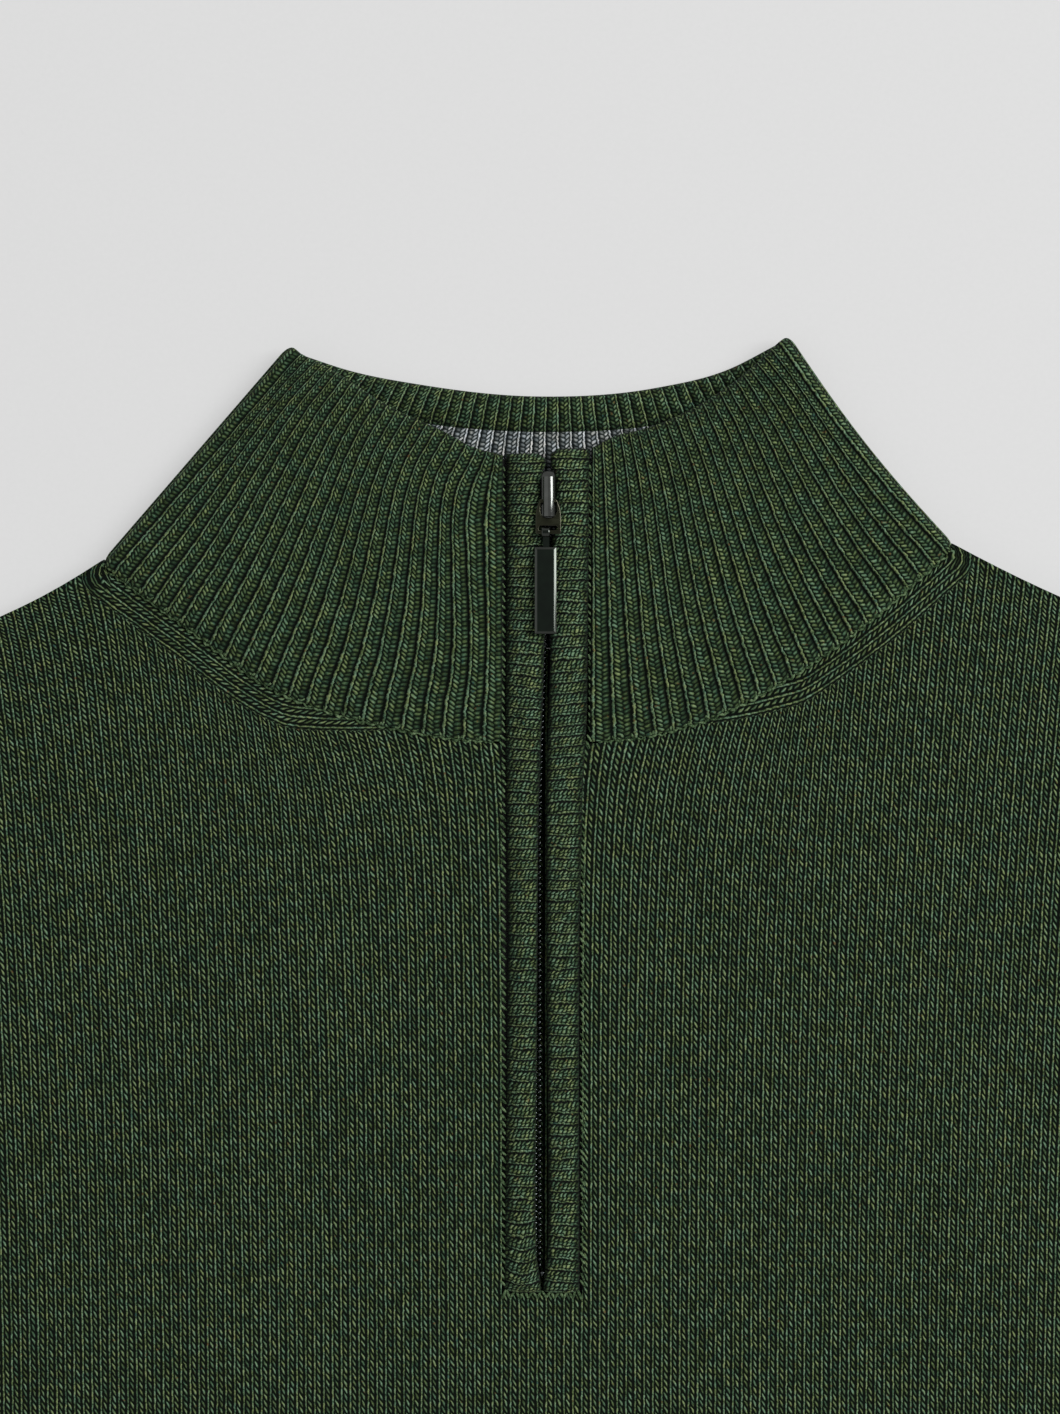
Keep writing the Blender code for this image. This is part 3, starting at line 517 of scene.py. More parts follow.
@dataclass
class Cloth:
    """A closed shell of knitted cloth between two grids of points.

    Attributes:
        name: the piece's name.
        over: its outer face, rows by columns.
        under: its inner face.
        knit: wales and courses at each point of the faces.
        border: a second pair of coordinates, for what runs along an edge.
        ring: whether the last column joins the first; knit then has one column more.
    """

    name: str
    over: np.ndarray
    under: np.ndarray
    knit: np.ndarray
    border: Optional[np.ndarray] = None
    ring: bool = False

    def _quads(self, grid: np.ndarray) -> np.ndarray:
        """Four corners of each face between a grid's rows and columns.

        Args:
            grid: indices or coordinates, rows by columns.

        Returns:
            Four corners for each face.
        """
        corners = (grid[:-1, :-1], grid[:-1, 1:], grid[1:, 1:], grid[1:, :-1])
        stacked = np.stack(corners, axis=2)
        return stacked.reshape((-1,) + stacked.shape[2:])

    def _closed(self, grid: np.ndarray) -> np.ndarray:
        """Adds a ring's first column after its last."""
        return np.concatenate([grid, grid[:, :1]], axis=1) if self.ring else grid

    def _faces(self, top: np.ndarray, low: np.ndarray) -> np.ndarray:
        """Faces of both sides and of the edges.

        Args:
            top: indices or coordinates of the outer grid.
            low: the same of the inner grid.

        Returns:
            Four corners for each face.
        """
        parts = [self._quads(top), self._quads(low)[:, ::-1]]
        for row in (0, -1):
            parts.append(self._quads(np.stack([top[row], low[row]])))
        if not self.ring:
            for column in (0, -1):
                parts.append(self._quads(np.stack([top[:, column], low[:, column]])))
        return np.concatenate(parts)

    def make(self) -> bpy.types.Object:
        """Builds the mesh with its knit coordinates.

        Returns:
            The piece.
        """
        count = self.over.shape[0] * self.over.shape[1]
        index = np.arange(count).reshape(self.over.shape[:2])
        points = np.concatenate([self.over.reshape(-1, 3), self.under.reshape(-1, 3)])
        faces = self._faces(self._closed(index), self._closed(index + count))
        mesh = bpy.data.meshes.new(self.name)
        mesh.from_pydata(to_metres(points).tolist(), [], faces.tolist())
        for title, grid in (("Knit", self.knit), ("Border", self.border)):
            if grid is not None:
                layer = mesh.uv_layers.new(name=title)
                layer.data.foreach_set("uv", self._faces(grid, grid).reshape(-1))
        shape = bmesh.new()
        shape.from_mesh(mesh)
        bmesh.ops.recalc_face_normals(shape, faces=shape.faces)
        shape.to_mesh(mesh)
        shape.free()
        return placed(self.name, mesh)

    def shaded(self, angle: float = 45.0) -> bpy.types.Object:
        """Builds the mesh and shades it smoothly, but for edges sharper than the angle.

        Args:
            angle: the angle, in degrees.

        Returns:
            The piece.
        """
        piece = self.make()
        smooth_shade(piece, angle)
        return piece


def deliver(
    piece: bpy.types.Object, look: bpy.types.Material, body: str, nodes: Sequence[str] = ()
) -> bpy.types.Object:
    """Dresses a piece and sets it on its body.

    Args:
        piece: the piece.
        look: its material.
        body: the body it rides on.
        nodes: the solids it stands for.

    Returns:
        The piece.
    """
    piece.data.materials.clear()
    piece.data.materials.append(look)
    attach(piece, body)
    if nodes:
        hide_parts(*nodes)
    log.info("%s: %d faces", piece.name, len(piece.data.polygons))
    return piece


# Shaders


def operator(operation: str, reflected: bool = False) -> Callable[["Value", Number], "Value"]:
    """An operator of a value that adds one Math node.

    Args:
        operation: the node's operation.
        reflected: whether the value comes second.

    Returns:
        The method.
    """

    def combined(value: "Value", other: Number) -> "Value":
        """The value and the other one, in the order in which they were written."""
        return value.graph.maths(operation, *((other, value) if reflected else (value, other)))

    return combined


class Value:
    """A shader's socket that Python expressions can use."""

    def __init__(self, graph: "Graph", socket: bpy.types.NodeSocket) -> None:
        """Keeps the socket and the graph it is in."""
        self.graph = graph
        self.socket = socket

    __add__ = operator("ADD")
    __radd__ = operator("ADD", reflected=True)
    __sub__ = operator("SUBTRACT")
    __rsub__ = operator("SUBTRACT", reflected=True)
    __mul__ = operator("MULTIPLY")
    __rmul__ = operator("MULTIPLY", reflected=True)
    __pow__ = operator("POWER")


class Graph:
    """A material's nodes, added by calls that read as expressions."""

    def __init__(self, name: str) -> None:
        """Makes a material that holds one Principled shader.

        Args:
            name: the material's name.
        """
        self.material = bpy.data.materials.new(name)
        self.material.use_nodes = True
        self.tree = self.material.node_tree
        self.shader = self.tree.nodes["Principled BSDF"]

    def node(
        self, kind: str, settings: Optional[dict] = None, inputs: Optional[dict] = None
    ) -> bpy.types.Node:
        """Adds a node.

        Args:
            kind: its type.
            settings: its properties, or stops for a colour ramp's positions and colours.
            inputs: values or links of its sockets, by name or number.

        Returns:
            The node.
        """
        made = self.tree.nodes.new(kind)
        for key, value in (settings or {}).items():
            if key == "stops":
                self._set_stops(made.color_ramp, value)
            else:
                setattr(made, key, value)
        for key, value in (inputs or {}).items():
            self.feed(made.inputs[key], value)
        return made

    def _set_stops(self, ramp: bpy.types.ColorRamp, stops: Sequence[tuple]) -> None:
        """Sets a colour ramp's positions and colours.

        Args:
            ramp: the colour ramp.
            stops: its positions and colours.
        """
        while len(ramp.elements) < len(stops):
            ramp.elements.new(1.0)
        for element, (position, colour) in zip(ramp.elements, stops):
            element.position = position
            element.color = (*colour, 1.0)

    def feed(self, socket: bpy.types.NodeSocket, value: object) -> None:
        """Links a value to a socket, or sets it there.

        Args:
            socket: the socket.
            value: the value, or what it is to be set to.
        """
        if isinstance(value, Value):
            self.tree.links.new(value.socket, socket)
        else:
            socket.default_value = value

    def out(self, made: bpy.types.Node, name: Union[str, int] = 0) -> Value:
        """One output of a node."""
        return Value(self, made.outputs[name])

    def maths(self, operation: str, *values: Number) -> Value:
        """One Math node."""
        made = self.node("ShaderNodeMath", {"operation": operation}, dict(enumerate(values)))
        return self.out(made)

    def fraction(self, value: Value) -> Value:
        """Part after the point, from 0 to 1."""
        return self.maths("FRACT", value)

    def whole(self, value: Value) -> Value:
        """The whole number below."""
        return self.maths("FLOOR", value)

    def clamped(self, value: Value) -> Value:
        """Between 0 and 1."""
        return self.maths("MINIMUM", self.maths("MAXIMUM", value, 0.0), 1.0)

    def step(self, value: Value, low: float, high: float) -> Value:
        """0 below low, 1 above high, smooth between.

        Args:
            value: the value.
            low: where it begins to rise.
            high: where it is 1.

        Returns:
            The share.
        """
        made = self.node(
            "ShaderNodeMapRange",
            {"interpolation_type": "SMOOTHSTEP"},
            {"Value": value, "From Min": low, "From Max": high},
        )
        return self.out(made)

    def pair(self, x: Number, y: Number, z: Number = 0.0) -> Value:
        """A vector of three values."""
        return self.out(self.node("ShaderNodeCombineXYZ", None, {"X": x, "Y": y, "Z": z}))

    def split(self, vector: Value) -> tuple[Value, Value, Value]:
        """Three values of a vector."""
        made = self.node("ShaderNodeSeparateXYZ", None, {"Vector": vector})
        return self.out(made, 0), self.out(made, 1), self.out(made, 2)

    def uv(self, name: str) -> Value:
        """A piece's own coordinates."""
        return self.out(self.node("ShaderNodeUVMap", {"uv_map": name}))

    def place(self) -> Value:
        """Object coordinates."""
        return self.out(self.node("ShaderNodeTexCoord"), "Object")

    def noise(self, vector: Value, scale: float, detail: float = 2.0, roughness: float = 0.5) -> Value:
        """Soft noise around 0.5.

        Args:
            vector: where it is read.
            scale: its spots to the metre.
            detail: how many finer layers it has.
            roughness: how strong they are.

        Returns:
            The noise.
        """
        made = self.node(
            "ShaderNodeTexNoise",
            None,
            {"Vector": vector, "Scale": scale, "Detail": detail, "Roughness": roughness},
        )
        return self.out(made, "Fac")

    def chance(self, vector: Value) -> tuple[Value, Value, Value]:
        """Three even random numbers for each vector."""
        made = self.node("ShaderNodeTexWhiteNoise", {"noise_dimensions": "3D"}, {"Vector": vector})
        return self.split(self.out(made, "Color"))

    def ramp(self, value: Value, stops: Sequence[tuple]) -> Value:
        """Colour of a value on a ramp."""
        return self.out(self.node("ShaderNodeValToRGB", {"stops": stops}, {"Fac": value}), "Color")

    def mixed(self, share: Number, first: object, second: object, blend: str = "MIX") -> Value:
        """Mixes two colours.

        Args:
            share: how much of the second there is.
            first: one colour.
            second: the other.
            blend: how they are mixed.

        Returns:
            The colour.
        """
        made = self.node(
            "ShaderNodeMix", {"data_type": "RGBA", "blend_type": blend}, {0: share, 6: first, 7: second}
        )
        return self.out(made, 2)

    def mixed_vectors(self, share: Number, first: object, second: object) -> Value:
        """Mixes two vectors."""
        made = self.node("ShaderNodeMix", {"data_type": "VECTOR"}, {0: share, 4: first, 5: second})
        return self.out(made, 1)

    def bump(self, height: Value, distance: float, strength: float = 1.0) -> Value:
        """Normal of a relief whose full height is the distance, in metres.

        Args:
            height: the relief, from 0 to 1.
            distance: its full height.
            strength: how much of it shows.

        Returns:
            The normal.
        """
        made = self.node(
            "ShaderNodeBump", None, {"Height": height, "Distance": distance, "Strength": strength}
        )
        return self.out(made)

    def finish(self, sockets: dict) -> bpy.types.Material:
        """Feeds the shader's sockets and gives the material.

        Args:
            sockets: values by the names of the shader's sockets.

        Returns:
            The material.
        """
        for name, value in sockets.items():
            self.feed(self.shader.inputs[name], value)
        return self.material


@dataclass(frozen=True)
class Yarn:
    """Colours of a marled yarn.

    Attributes:
        shades: positions and colours, from its shadow to its palest ply.
        cool: multiplies the colour where the dye runs cool.
        warm: multiplies it where the dye runs warm.
        cool_fleck: colour of the cool flecks.
        warm_fleck: colour of the warm ones.
    """

    shades: tuple[tuple[float, tuple[float, float, float]], ...]
    cool: tuple[float, float, float]
    warm: tuple[float, float, float]
    cool_fleck: tuple[float, float, float]
    warm_fleck: tuple[float, float, float]


GREEN_MARL = Yarn(
    (
        (0.00, (0.0010, 0.0024, 0.0011)),
        (0.22, (0.0058, 0.0128, 0.0054)),
        (0.48, (0.0280, 0.0530, 0.0222)),
        (0.72, (0.0880, 0.1430, 0.0680)),
        (1.00, (0.2000, 0.2800, 0.1480)),
    ),
    cool=(0.84, 1.00, 1.20),
    warm=(1.15, 1.02, 0.82),
    cool_fleck=(0.020, 0.075, 0.070),
    warm_fleck=(0.130, 0.062, 0.020),
)
GREY_MARL = Yarn(
    (
        (0.00, (0.005, 0.007, 0.008)),
        (0.25, (0.040, 0.048, 0.050)),
        (0.50, (0.140, 0.158, 0.160)),
        (0.75, (0.360, 0.380, 0.390)),
        (1.00, (0.640, 0.650, 0.670)),
    ),
    cool=(0.94, 1.0, 1.02),
    warm=(1.04, 1.02, 0.94),
    cool_fleck=(0.09, 0.12, 0.12),
    warm_fleck=(0.12, 0.14, 0.09),
)


@dataclass(frozen=True)
class Leg:
    """One leg of a stitch.

    Attributes:
        start: where it begins across its wale.
        end: where it ends.
        slant: courses that it crosses on the way.
        shift: courses that it is moved by.
        height: how high it stands, from 0 to 1.
        gap: how far it sinks between one stitch and the next, from 0 to 1.
    """

    start: float
    end: float
    slant: float
    shift: float
    height: float
    gap: float


class Stitch(Enum):
    """How a knit's stitches lie, as their legs."""

    JERSEY = (
        Leg(0.00, 0.25, 0.15, 0.0, 1.0, 0.30),
        Leg(0.33, 0.83, 0.95, 0.35, 0.93, 1.0),
    )
    RIB = (
        Leg(0.00, 0.17, 0.12, 0.0, 1.0, 0.10),
        Leg(0.19, 0.56, 0.80, 0.2, 0.78, 0.50),
        Leg(0.50, 0.94, -0.40, 0.5, 0.60, 0.45),
    )
    SIDEWAYS = (
        Leg(0.00, 0.22, 0.15, 0.0, 1.0, 0.35),
        Leg(0.29, 0.66, 0.75, 0.2, 0.86, 0.70),
        Leg(0.62, 1.00, 0.60, 0.5, 0.84, 0.65),
    )


@dataclass(frozen=True)
class KnitFinish:
    """Knitted wool: stitches as relief and colour on the piece's own wales and courses; shade and light
    are painted into the colour.

    Attributes:
        name: the finish's name.
        yarn: its yarn.
        stitch: how its stitches lie.
        relief: height of the stitches, in metres.
        wander: how far wales and courses stray, in their own pitch.
        wobble: how far single stitches stray.
        wave: how far each course bends the wales.
        lift: added to the tone.
        contrast: how far the tone varies.
        bordered: whether a second knit runs along an edge.
        painted_edge_shade: whether shade is painted on the piece's long edges, darker where they roll
            under.
    """

    name: str
    yarn: Yarn
    stitch: Stitch
    relief: float = 0.0005
    wander: float = 0.07
    wobble: float = 0.11
    wave: float = 0.015
    lift: float = 0.0
    contrast: float = 1.0
    bordered: bool = False
    painted_edge_shade: bool = False

    def _coordinates(self, graph: Graph) -> tuple[Value, Value]:
        """Wales and courses, a little uneven.

        Args:
            graph: the material.

        Returns:
            The wales and the courses.
        """
        knit = graph.uv("Knit")
        if self.bordered:
            border = graph.uv("Border")
            inside = 1.0 - graph.step(graph.split(border)[0], *BAND_EDGE)
            knit = graph.mixed_vectors(inside, knit, border)
        wale, course, _ = graph.split(knit)
        place = graph.place()
        strays = (  # spots to the metre and reach, across the wales and along them
            (190.0, 2.0 * self.wander, 150.0, 4.0 * self.wander),
            (820.0, self.wobble, 610.0, 1.8 * self.wobble),
        )
        for across, wide, along, long in strays:
            wale = wale + (graph.noise(place, across, 1.0) - 0.5) * wide
            course = course + (graph.noise(place, along, 1.0) - 0.5) * long
        wale = wale + graph.maths("SINE", course * (2.0 * math.pi)) * self.wave
        return wale, course

    def _leg(self, graph: Graph, leg: Leg, wale: Value, course: Value) -> tuple[Value, Value]:
        """Relief and tone of one leg of the stitches.

        Args:
            graph: the material.
            leg: the leg.
            wale: wales across.
            course: courses along.

        Returns:
            Its height, from 0 to 1, and its tone.
        """
        part = graph.fraction(wale)
        along = graph.clamped((part - leg.start) * (1.0 / (leg.end - leg.start)))
        run = course + along * leg.slant + leg.shift
        across = graph.fraction(run)
        sides = along * (1.0 - along) * 4.0
        thick = across * (1.0 - across) * 4.0
        body = thick * leg.gap + (1.0 - leg.gap)
        height = (sides**0.6) * (body**1.7) * leg.height
        stitch = graph.pair(graph.whole(wale) + leg.start, graph.whole(run), leg.slant)
        first, second, _ = graph.chance(stitch)
        strand = graph.pair(along * 1.6 + second * 9.0, across * 3.0, graph.whole(run) * 1.7 + wale * 0.3)
        ply = graph.noise(strand, 1.5, 2.0, 0.6)
        tone = (first - 0.5) * 0.42 + (ply - 0.5) * 1.25
        return height, tone

    def material(self) -> bpy.types.Material:
        """Makes the material.

        Returns:
            The material.
        """
        graph = Graph(self.name)
        wale, course = self._coordinates(graph)
        height: Optional[Value] = None
        tone: Optional[Value] = None
        for leg in self.stitch.value:
            leg_height, leg_tone = self._leg(graph, leg, wale, course)
            if height is None or tone is None:
                height, tone = leg_height, leg_tone
                continue
            nearer = graph.maths("GREATER_THAN", leg_height, height)
            tone = tone + (leg_tone - tone) * nearer
            height = graph.maths("MAXIMUM", height, leg_height)
        place = graph.place()
        cloud = graph.noise(place, 26.0, 2.0)
        fibre = graph.noise(place, 2600.0, 1.0)
        # Painted shade: the colour darkens where the legs sink between stitches, and higher legs are
        # painted lighter.
        lit = graph.step(height, 0.10, 0.80)
        bright = tone * self.contrast + height * 0.18 + (0.44 + self.lift)
        # Painted shade: the tone falls towards both long edges, read from the Border coordinate's shares.
        if self.painted_edge_shade:
            share = graph.split(graph.uv("Border"))[0]
            bright = bright * (graph.step(share, -0.16, 0.20) * (1.0 - graph.step(share, 0.74, 1.16)))
        shade = lit * bright + (cloud - 0.5) * 0.05 + (fibre - 0.5) * 0.19
        colour = graph.ramp(graph.clamped(shade), self.yarn.shades)
        dye = graph.step(graph.noise(place, 380.0, 3.0, 0.75), 0.36, 0.64)
        tint = graph.mixed(dye, (*self.yarn.warm, 1.0), (*self.yarn.cool, 1.0))
        colour = graph.mixed(1.0, colour, tint, "MULTIPLY")
        speck = graph.noise(place, 880.0, 1.0)
        cool = graph.step(speck, 0.70, 0.76)
        warm = 1.0 - graph.step(speck, 0.235, 0.285)
        colour = graph.mixed(cool * lit * 0.7, colour, (*self.yarn.cool_fleck, 1.0))
        colour = graph.mixed(warm * lit * 0.7, colour, (*self.yarn.warm_fleck, 1.0))
        relief = height + (fibre - 0.5) * 0.12
        return graph.finish(
            {
                "Base Color": colour,
                "Roughness": 0.92,
                "Specular IOR Level": 0.10,
                "Sheen Weight": 0.03,
                "Sheen Roughness": 0.5,
                "Normal": graph.bump(relief, self.relief),
            }
        )


@dataclass(frozen=True)
class StrandFinish:
    """Single strands of the yarn, for sewing.

    Attributes:
        name: the finish's name.
        yarn: its yarn.
        lift: added to the tone.
    """

    name: str
    yarn: Yarn
    lift: float = 0.0

    def material(self) -> bpy.types.Material:
        """Makes the material.

        Returns:
            The material.
        """
        graph = Graph(self.name)
        place = graph.place()
        ply = graph.noise(place, 1100.0, 3.0, 0.65)
        fibre = graph.noise(place, 2600.0, 1.0)
        shade = (ply - 0.5) * 1.9 + (fibre - 0.5) * 0.4 + (0.5 + self.lift)
        colour = graph.ramp(graph.clamped(shade), self.yarn.shades)
        return graph.finish(
            {
                "Base Color": colour,
                "Roughness": 0.92,
                "Specular IOR Level": 0.10,
                "Normal": graph.bump(ply, 0.00012),
            }
        )


@dataclass(frozen=True)
class MetalFinish:
    """Plated metal with a fine brushed grain, and lighter plating on its sloped edges as a painted
    highlight.

    Attributes:
        name: the finish's name.
        colour: the plating.
        roughness: how dull it is.
        grain: how much the roughness varies.
        lacquer: weight of the clear coat.
        edge_highlight: lighter colour of the sloped edges, a painted highlight that brightens their
            reflection of the lights, if any.
    """

    name: str
    colour: tuple[float, float, float]
    roughness: float
    grain: float = 0.06
    lacquer: float = 0.0
    edge_highlight: Optional[tuple[float, float, float]] = None

    def material(self) -> bpy.types.Material:
        """Makes the material.

        Returns:
            The material.
        """
        graph = Graph(self.name)
        place = graph.place()
        speck = graph.noise(place, 3200.0, 2.0, 0.7)
        smear = graph.noise(place, 420.0, 3.0)
        low = tuple(channel * 0.82 for channel in self.colour)
        high = tuple(min(1.0, channel * 1.25) for channel in self.colour)
        colour = graph.ramp(smear, ((0.3, low), (0.7, high)))
        # Painted highlight: faces that slope away from straight up get the lighter colour, so their edges
        # shine brighter.
        if self.edge_highlight:
            facing = graph.out(graph.node("ShaderNodeTexCoord"), "Normal")
            slope = 1.0 - graph.step(graph.split(facing)[2], 0.93, 0.985)
            colour = graph.mixed(slope, colour, (*self.edge_highlight, 1.0))
        dull = (speck - 0.5) * self.grain + (smear - 0.5) * self.grain + self.roughness
        return graph.finish(
            {
                "Base Color": colour,
                "Metallic": 1.0,
                "Roughness": graph.clamped(dull),
                "Coat Weight": self.lacquer,
                "Coat Roughness": 0.12,
                "Normal": graph.bump(speck, 0.000002),
            }
        )


@dataclass(frozen=True)
class TapeFinish:
    """Black woven zip tape: a fine herringbone.

    Attributes:
        name: the finish's name.
        pitch: threads to the metre.
    """

    name: str = "zip tape"
    pitch: float = 2200.0

    def material(self) -> bpy.types.Material:
        """Makes the material.

        Returns:
            The material.
        """
        graph = Graph(self.name)
        x, y, _ = graph.split(graph.place())
        side = graph.maths("PINGPONG", x * self.pitch, 1.0)
        weave = graph.fraction(y * self.pitch + side)
        thread = weave * (1.0 - weave) * 4.0
        speck = graph.noise(graph.place(), 3000.0, 1.0)
        stops = ((0.1, (0.002, 0.002, 0.002)), (0.9, (0.014, 0.015, 0.014)))
        colour = graph.ramp(thread * 0.7 + speck * 0.3, stops)
        relief = graph.bump(thread, 0.00008)
        return graph.finish({"Base Color": colour, "Roughness": 0.8, "Normal": relief})


@dataclass(frozen=True)
class CoilFinish:
    """Black plated wire of the zip's coil.

    Attributes:
        name: the finish's name.
    """

    name: str = "zip coil"

    def material(self) -> bpy.types.Material:
        """Makes the material.

        Returns:
            The material.
        """
        graph = Graph(self.name)
        speck = graph.noise(graph.place(), 1800.0, 2.0)
        colour = graph.ramp(speck, ((0.3, (0.10, 0.11, 0.11)), (0.7, (0.15, 0.17, 0.17))))
        return graph.finish(
            {
                "Base Color": colour,
                "Metallic": 1.0,
                "Roughness": graph.clamped(speck * 0.1 + 0.08),
                "Normal": graph.bump(speck, 0.00001),
            }
        )


@dataclass(frozen=True)
class FloorFinish:
    """Pale paper on a light table, which softens the shadows.

    Attributes:
        name: the finish's name.
    """

    name: str = "pale paper"

    def material(self) -> bpy.types.Material:
        """Makes the material.

        Returns:
            The material.
        """
        graph = Graph(self.name)
        speck = graph.noise(graph.place(), 900.0, 2.0)
        colour = graph.ramp(speck, ((0.3, (0.215, 0.215, 0.215)), (0.7, (0.225, 0.225, 0.225))))
        return graph.finish(
            {
                "Base Color": colour,
                "Roughness": 0.95,
                "Specular IOR Level": 0.1,
                "Emission Color": (1.0, 1.0, 1.0, 1.0),
                "Emission Strength": 0.505,
            }
        )


# Body


def neckline(count: int) -> np.ndarray:
    """Points along the seam of the front collar, from the left fold to the right.

    Args:
        count: points on each half.

    Returns:
        The points.
    """
    shares = np.linspace(0.0, 1.0, count)
    left = through(COLLAR_LEFT, shares)[::-1, :2]
    right = through(COLLAR_RIGHT, shares)[:, :2]
    return np.concatenate([left, right])


def nearest(plan: np.ndarray, line: np.ndarray) -> tuple[np.ndarray, np.ndarray]:
    """Distance to a line of close points, and the length along it to the nearest one.

    Args:
        plan: the points to measure from.
        line: the line's points.

    Returns:
        The distances and the lengths.
    """
    flat = plan.reshape(-1, 2)
    length = run_lengths(line, 0)
    reach = np.linalg.norm(flat[:, None] - line[None], axis=-1)
    spot = reach.argmin(axis=1)
    rows = np.arange(len(flat))
    return reach[rows, spot].reshape(plan.shape[:-1]), length[spot].reshape(plan.shape[:-1])


@dataclass
class BodyPanels:
    """Front and back of the body.

    Attributes:
        shoulder_steps: columns over each shoulder.
        neck_steps: columns round each half of the neckline.
        first_rows: shares down the armhole of the rows close to the neckline.
        armhole_rows: rows below them, down to the underarm.
        side_rows: rows along the side seams.
        edge: how wide and how deep the front's edge is rounded at the neckline.
        lean: how far the wales lean in at the neckline, in millimetres.
        lean_top: y where the lean is full.
        lean_depth: how far down from there it reaches.
        lean_width: how far from the middle it is full.
        band_from: distances from the zip where the fashioned band begins and where it is full.
        band_pitch: pitch of the band's wales.
        band_shift: wales by which the band is moved away where there is none.
        fan_depth: how fast the fan of wales under the neckline fades, in millimetres.
        fan: how steeply the wales lean out at the neckline, for each side.
    """

    shoulder_steps: int = 24
    neck_steps: int = 44
    first_rows: tuple[float, ...] = (0.0, 0.002, 0.006, 0.012, 0.020)
    armhole_rows: int = 58
    side_rows: int = 84
    edge: tuple[float, float] = (2.4, 0.7)
    lean: float = 12.0
    lean_top: float = 40.0
    lean_depth: float = 300.0
    lean_width: float = 130.0
    band_from: tuple[float, float] = (34.0, 62.0)
    band_pitch: float = 2.05
    band_shift: float = 3.6
    fan_depth: float = 16.0
    fan: Rows = (  # distance from the zip, slope on the left, slope on the right
        (0.0, 0.00, 0.00),
        (11.0, 0.11, 0.13),
        (23.0, 0.18, 0.26),
        (40.0, 0.32, 0.32),
        (54.0, 0.42, 0.40),
        (72.0, 0.24, 0.12),
        (90.0, 0.16, 0.03),
        (115.0, 0.17, 0.00),
        (150.0, 0.10, 0.00),
        (225.0, 0.03, 0.00),
    )

    def _shoulder(self, side: float, neck_end: np.ndarray, rise: float) -> np.ndarray:
        """Points from the shoulder point towards the neck.

        Args:
            side: -1 for the left shoulder, 1 for the right one.
            neck_end: where it meets the neckline.
            rise: its fullness near the neck.

        Returns:
            The points, without the last one.
        """
        steps = np.linspace(0.0, 1.0, self.shoulder_steps + 1)[:-1, None]
        point = np.array(SHOULDER_POINT) * np.array([side, 1.0])
        full = np.array([0.0, rise]) * np.sin(math.pi * steps**3)
        return point * (1 - steps) + neck_end * steps + full

    def _level(self, reach: np.ndarray, end: np.ndarray) -> np.ndarray:
        """A level row of points, out to the one at the end."""
        return np.stack([reach * end[0], np.full(len(reach), end[1])], axis=1)

    def _plan(self, neck: np.ndarray, gap: float) -> np.ndarray:
        """Plan of a panel whose neckline lies this far below these points.

        Args:
            neck: points that the neckline follows.
            gap: how far below them it lies.

        Returns:
            The points, rows by columns.
        """
        corners = np.array(PANEL_CORNERS)
        neck = np.concatenate([corners[:1], neck, corners[1:]]) - np.array([0.0, gap])
        left = self._shoulder(-1.0, neck[0], SHOULDER_RISE[0])
        right = self._shoulder(1.0, neck[-1], SHOULDER_RISE[1])[::-1]
        top = np.concatenate([left, neck, right])
        down = np.concatenate([self.first_rows, np.linspace(0.032, 1.0, self.armhole_rows)])
        armhole = through(ARMHOLE, down)
        side_shares = np.linspace(0.0, 1.0, self.side_rows)
        seam = through(SIDE_SEAM, side_shares)
        spread = np.linspace(-1.0, 1.0, len(top))
        reach = np.abs(spread) ** COLUMN_SPREAD * np.sign(spread)
        across = (reach + 1.0) / 2.0
        middle = self._level(reach, armhole[-1])
        foot = self._level(reach, seam[-1])
        upper = patch(top, middle, armhole * MIRROR, armhole, across, down)
        lower = patch(middle, foot, seam * MIRROR, seam, across, side_shares)
        return np.concatenate([upper, lower[1:]])

    def _front_under(self, plan: np.ndarray, reach: np.ndarray) -> np.ndarray:
        """Height of the front's underside, raised by the collar's seam and the zip.

        Args:
            plan: the panel's plan.
            reach: distance of each point from the neckline.

        Returns:
            The heights.
        """
        neck = NECK_LIFT * smooth(1.0 - reach / NECK_SLOPE)
        x = np.abs(plan[..., 0])
        y = plan[..., 1]
        beside = smooth(1.0 - (x - SLOT_RIGHT) / PLACKET_SLOPE)
        beside = beside * smooth(1.0 - (SLOT_END - y) / FOOT_SLOPE)
        placket = (zip_rest(y) + TAPE_LOW - FRONT_REST) * beside
        lift = np.cbrt(neck**3 + placket**3) + folds_at(plan, FOLDS) + folds_at(plan, SOFT_WAVES)
        return FRONT_REST + np.maximum(lift, 0.0)

    def _fan_at(self, x: np.ndarray) -> tuple[np.ndarray, np.ndarray]:
        """Slope of the fan of wales at each x, and what it adds up to from the middle.

        Args:
            x: distances from the middle, with their side.

        Returns:
            The slopes and the sums.
        """
        table = np.array(self.fan)
        slopes = table[:, 1:]
        steps = np.diff(table[:, :1], axis=0)
        means = (slopes[1:] + slopes[:-1]) / 2
        sums = np.concatenate([[[0.0, 0.0]], np.cumsum(steps * means, axis=0)])
        slope, total = (
            np.where(x < 0.0, *(np.interp(np.abs(x), table[:, 0], column) for column in values.T))
            for values in (slopes, sums)
        )
        return slope, total

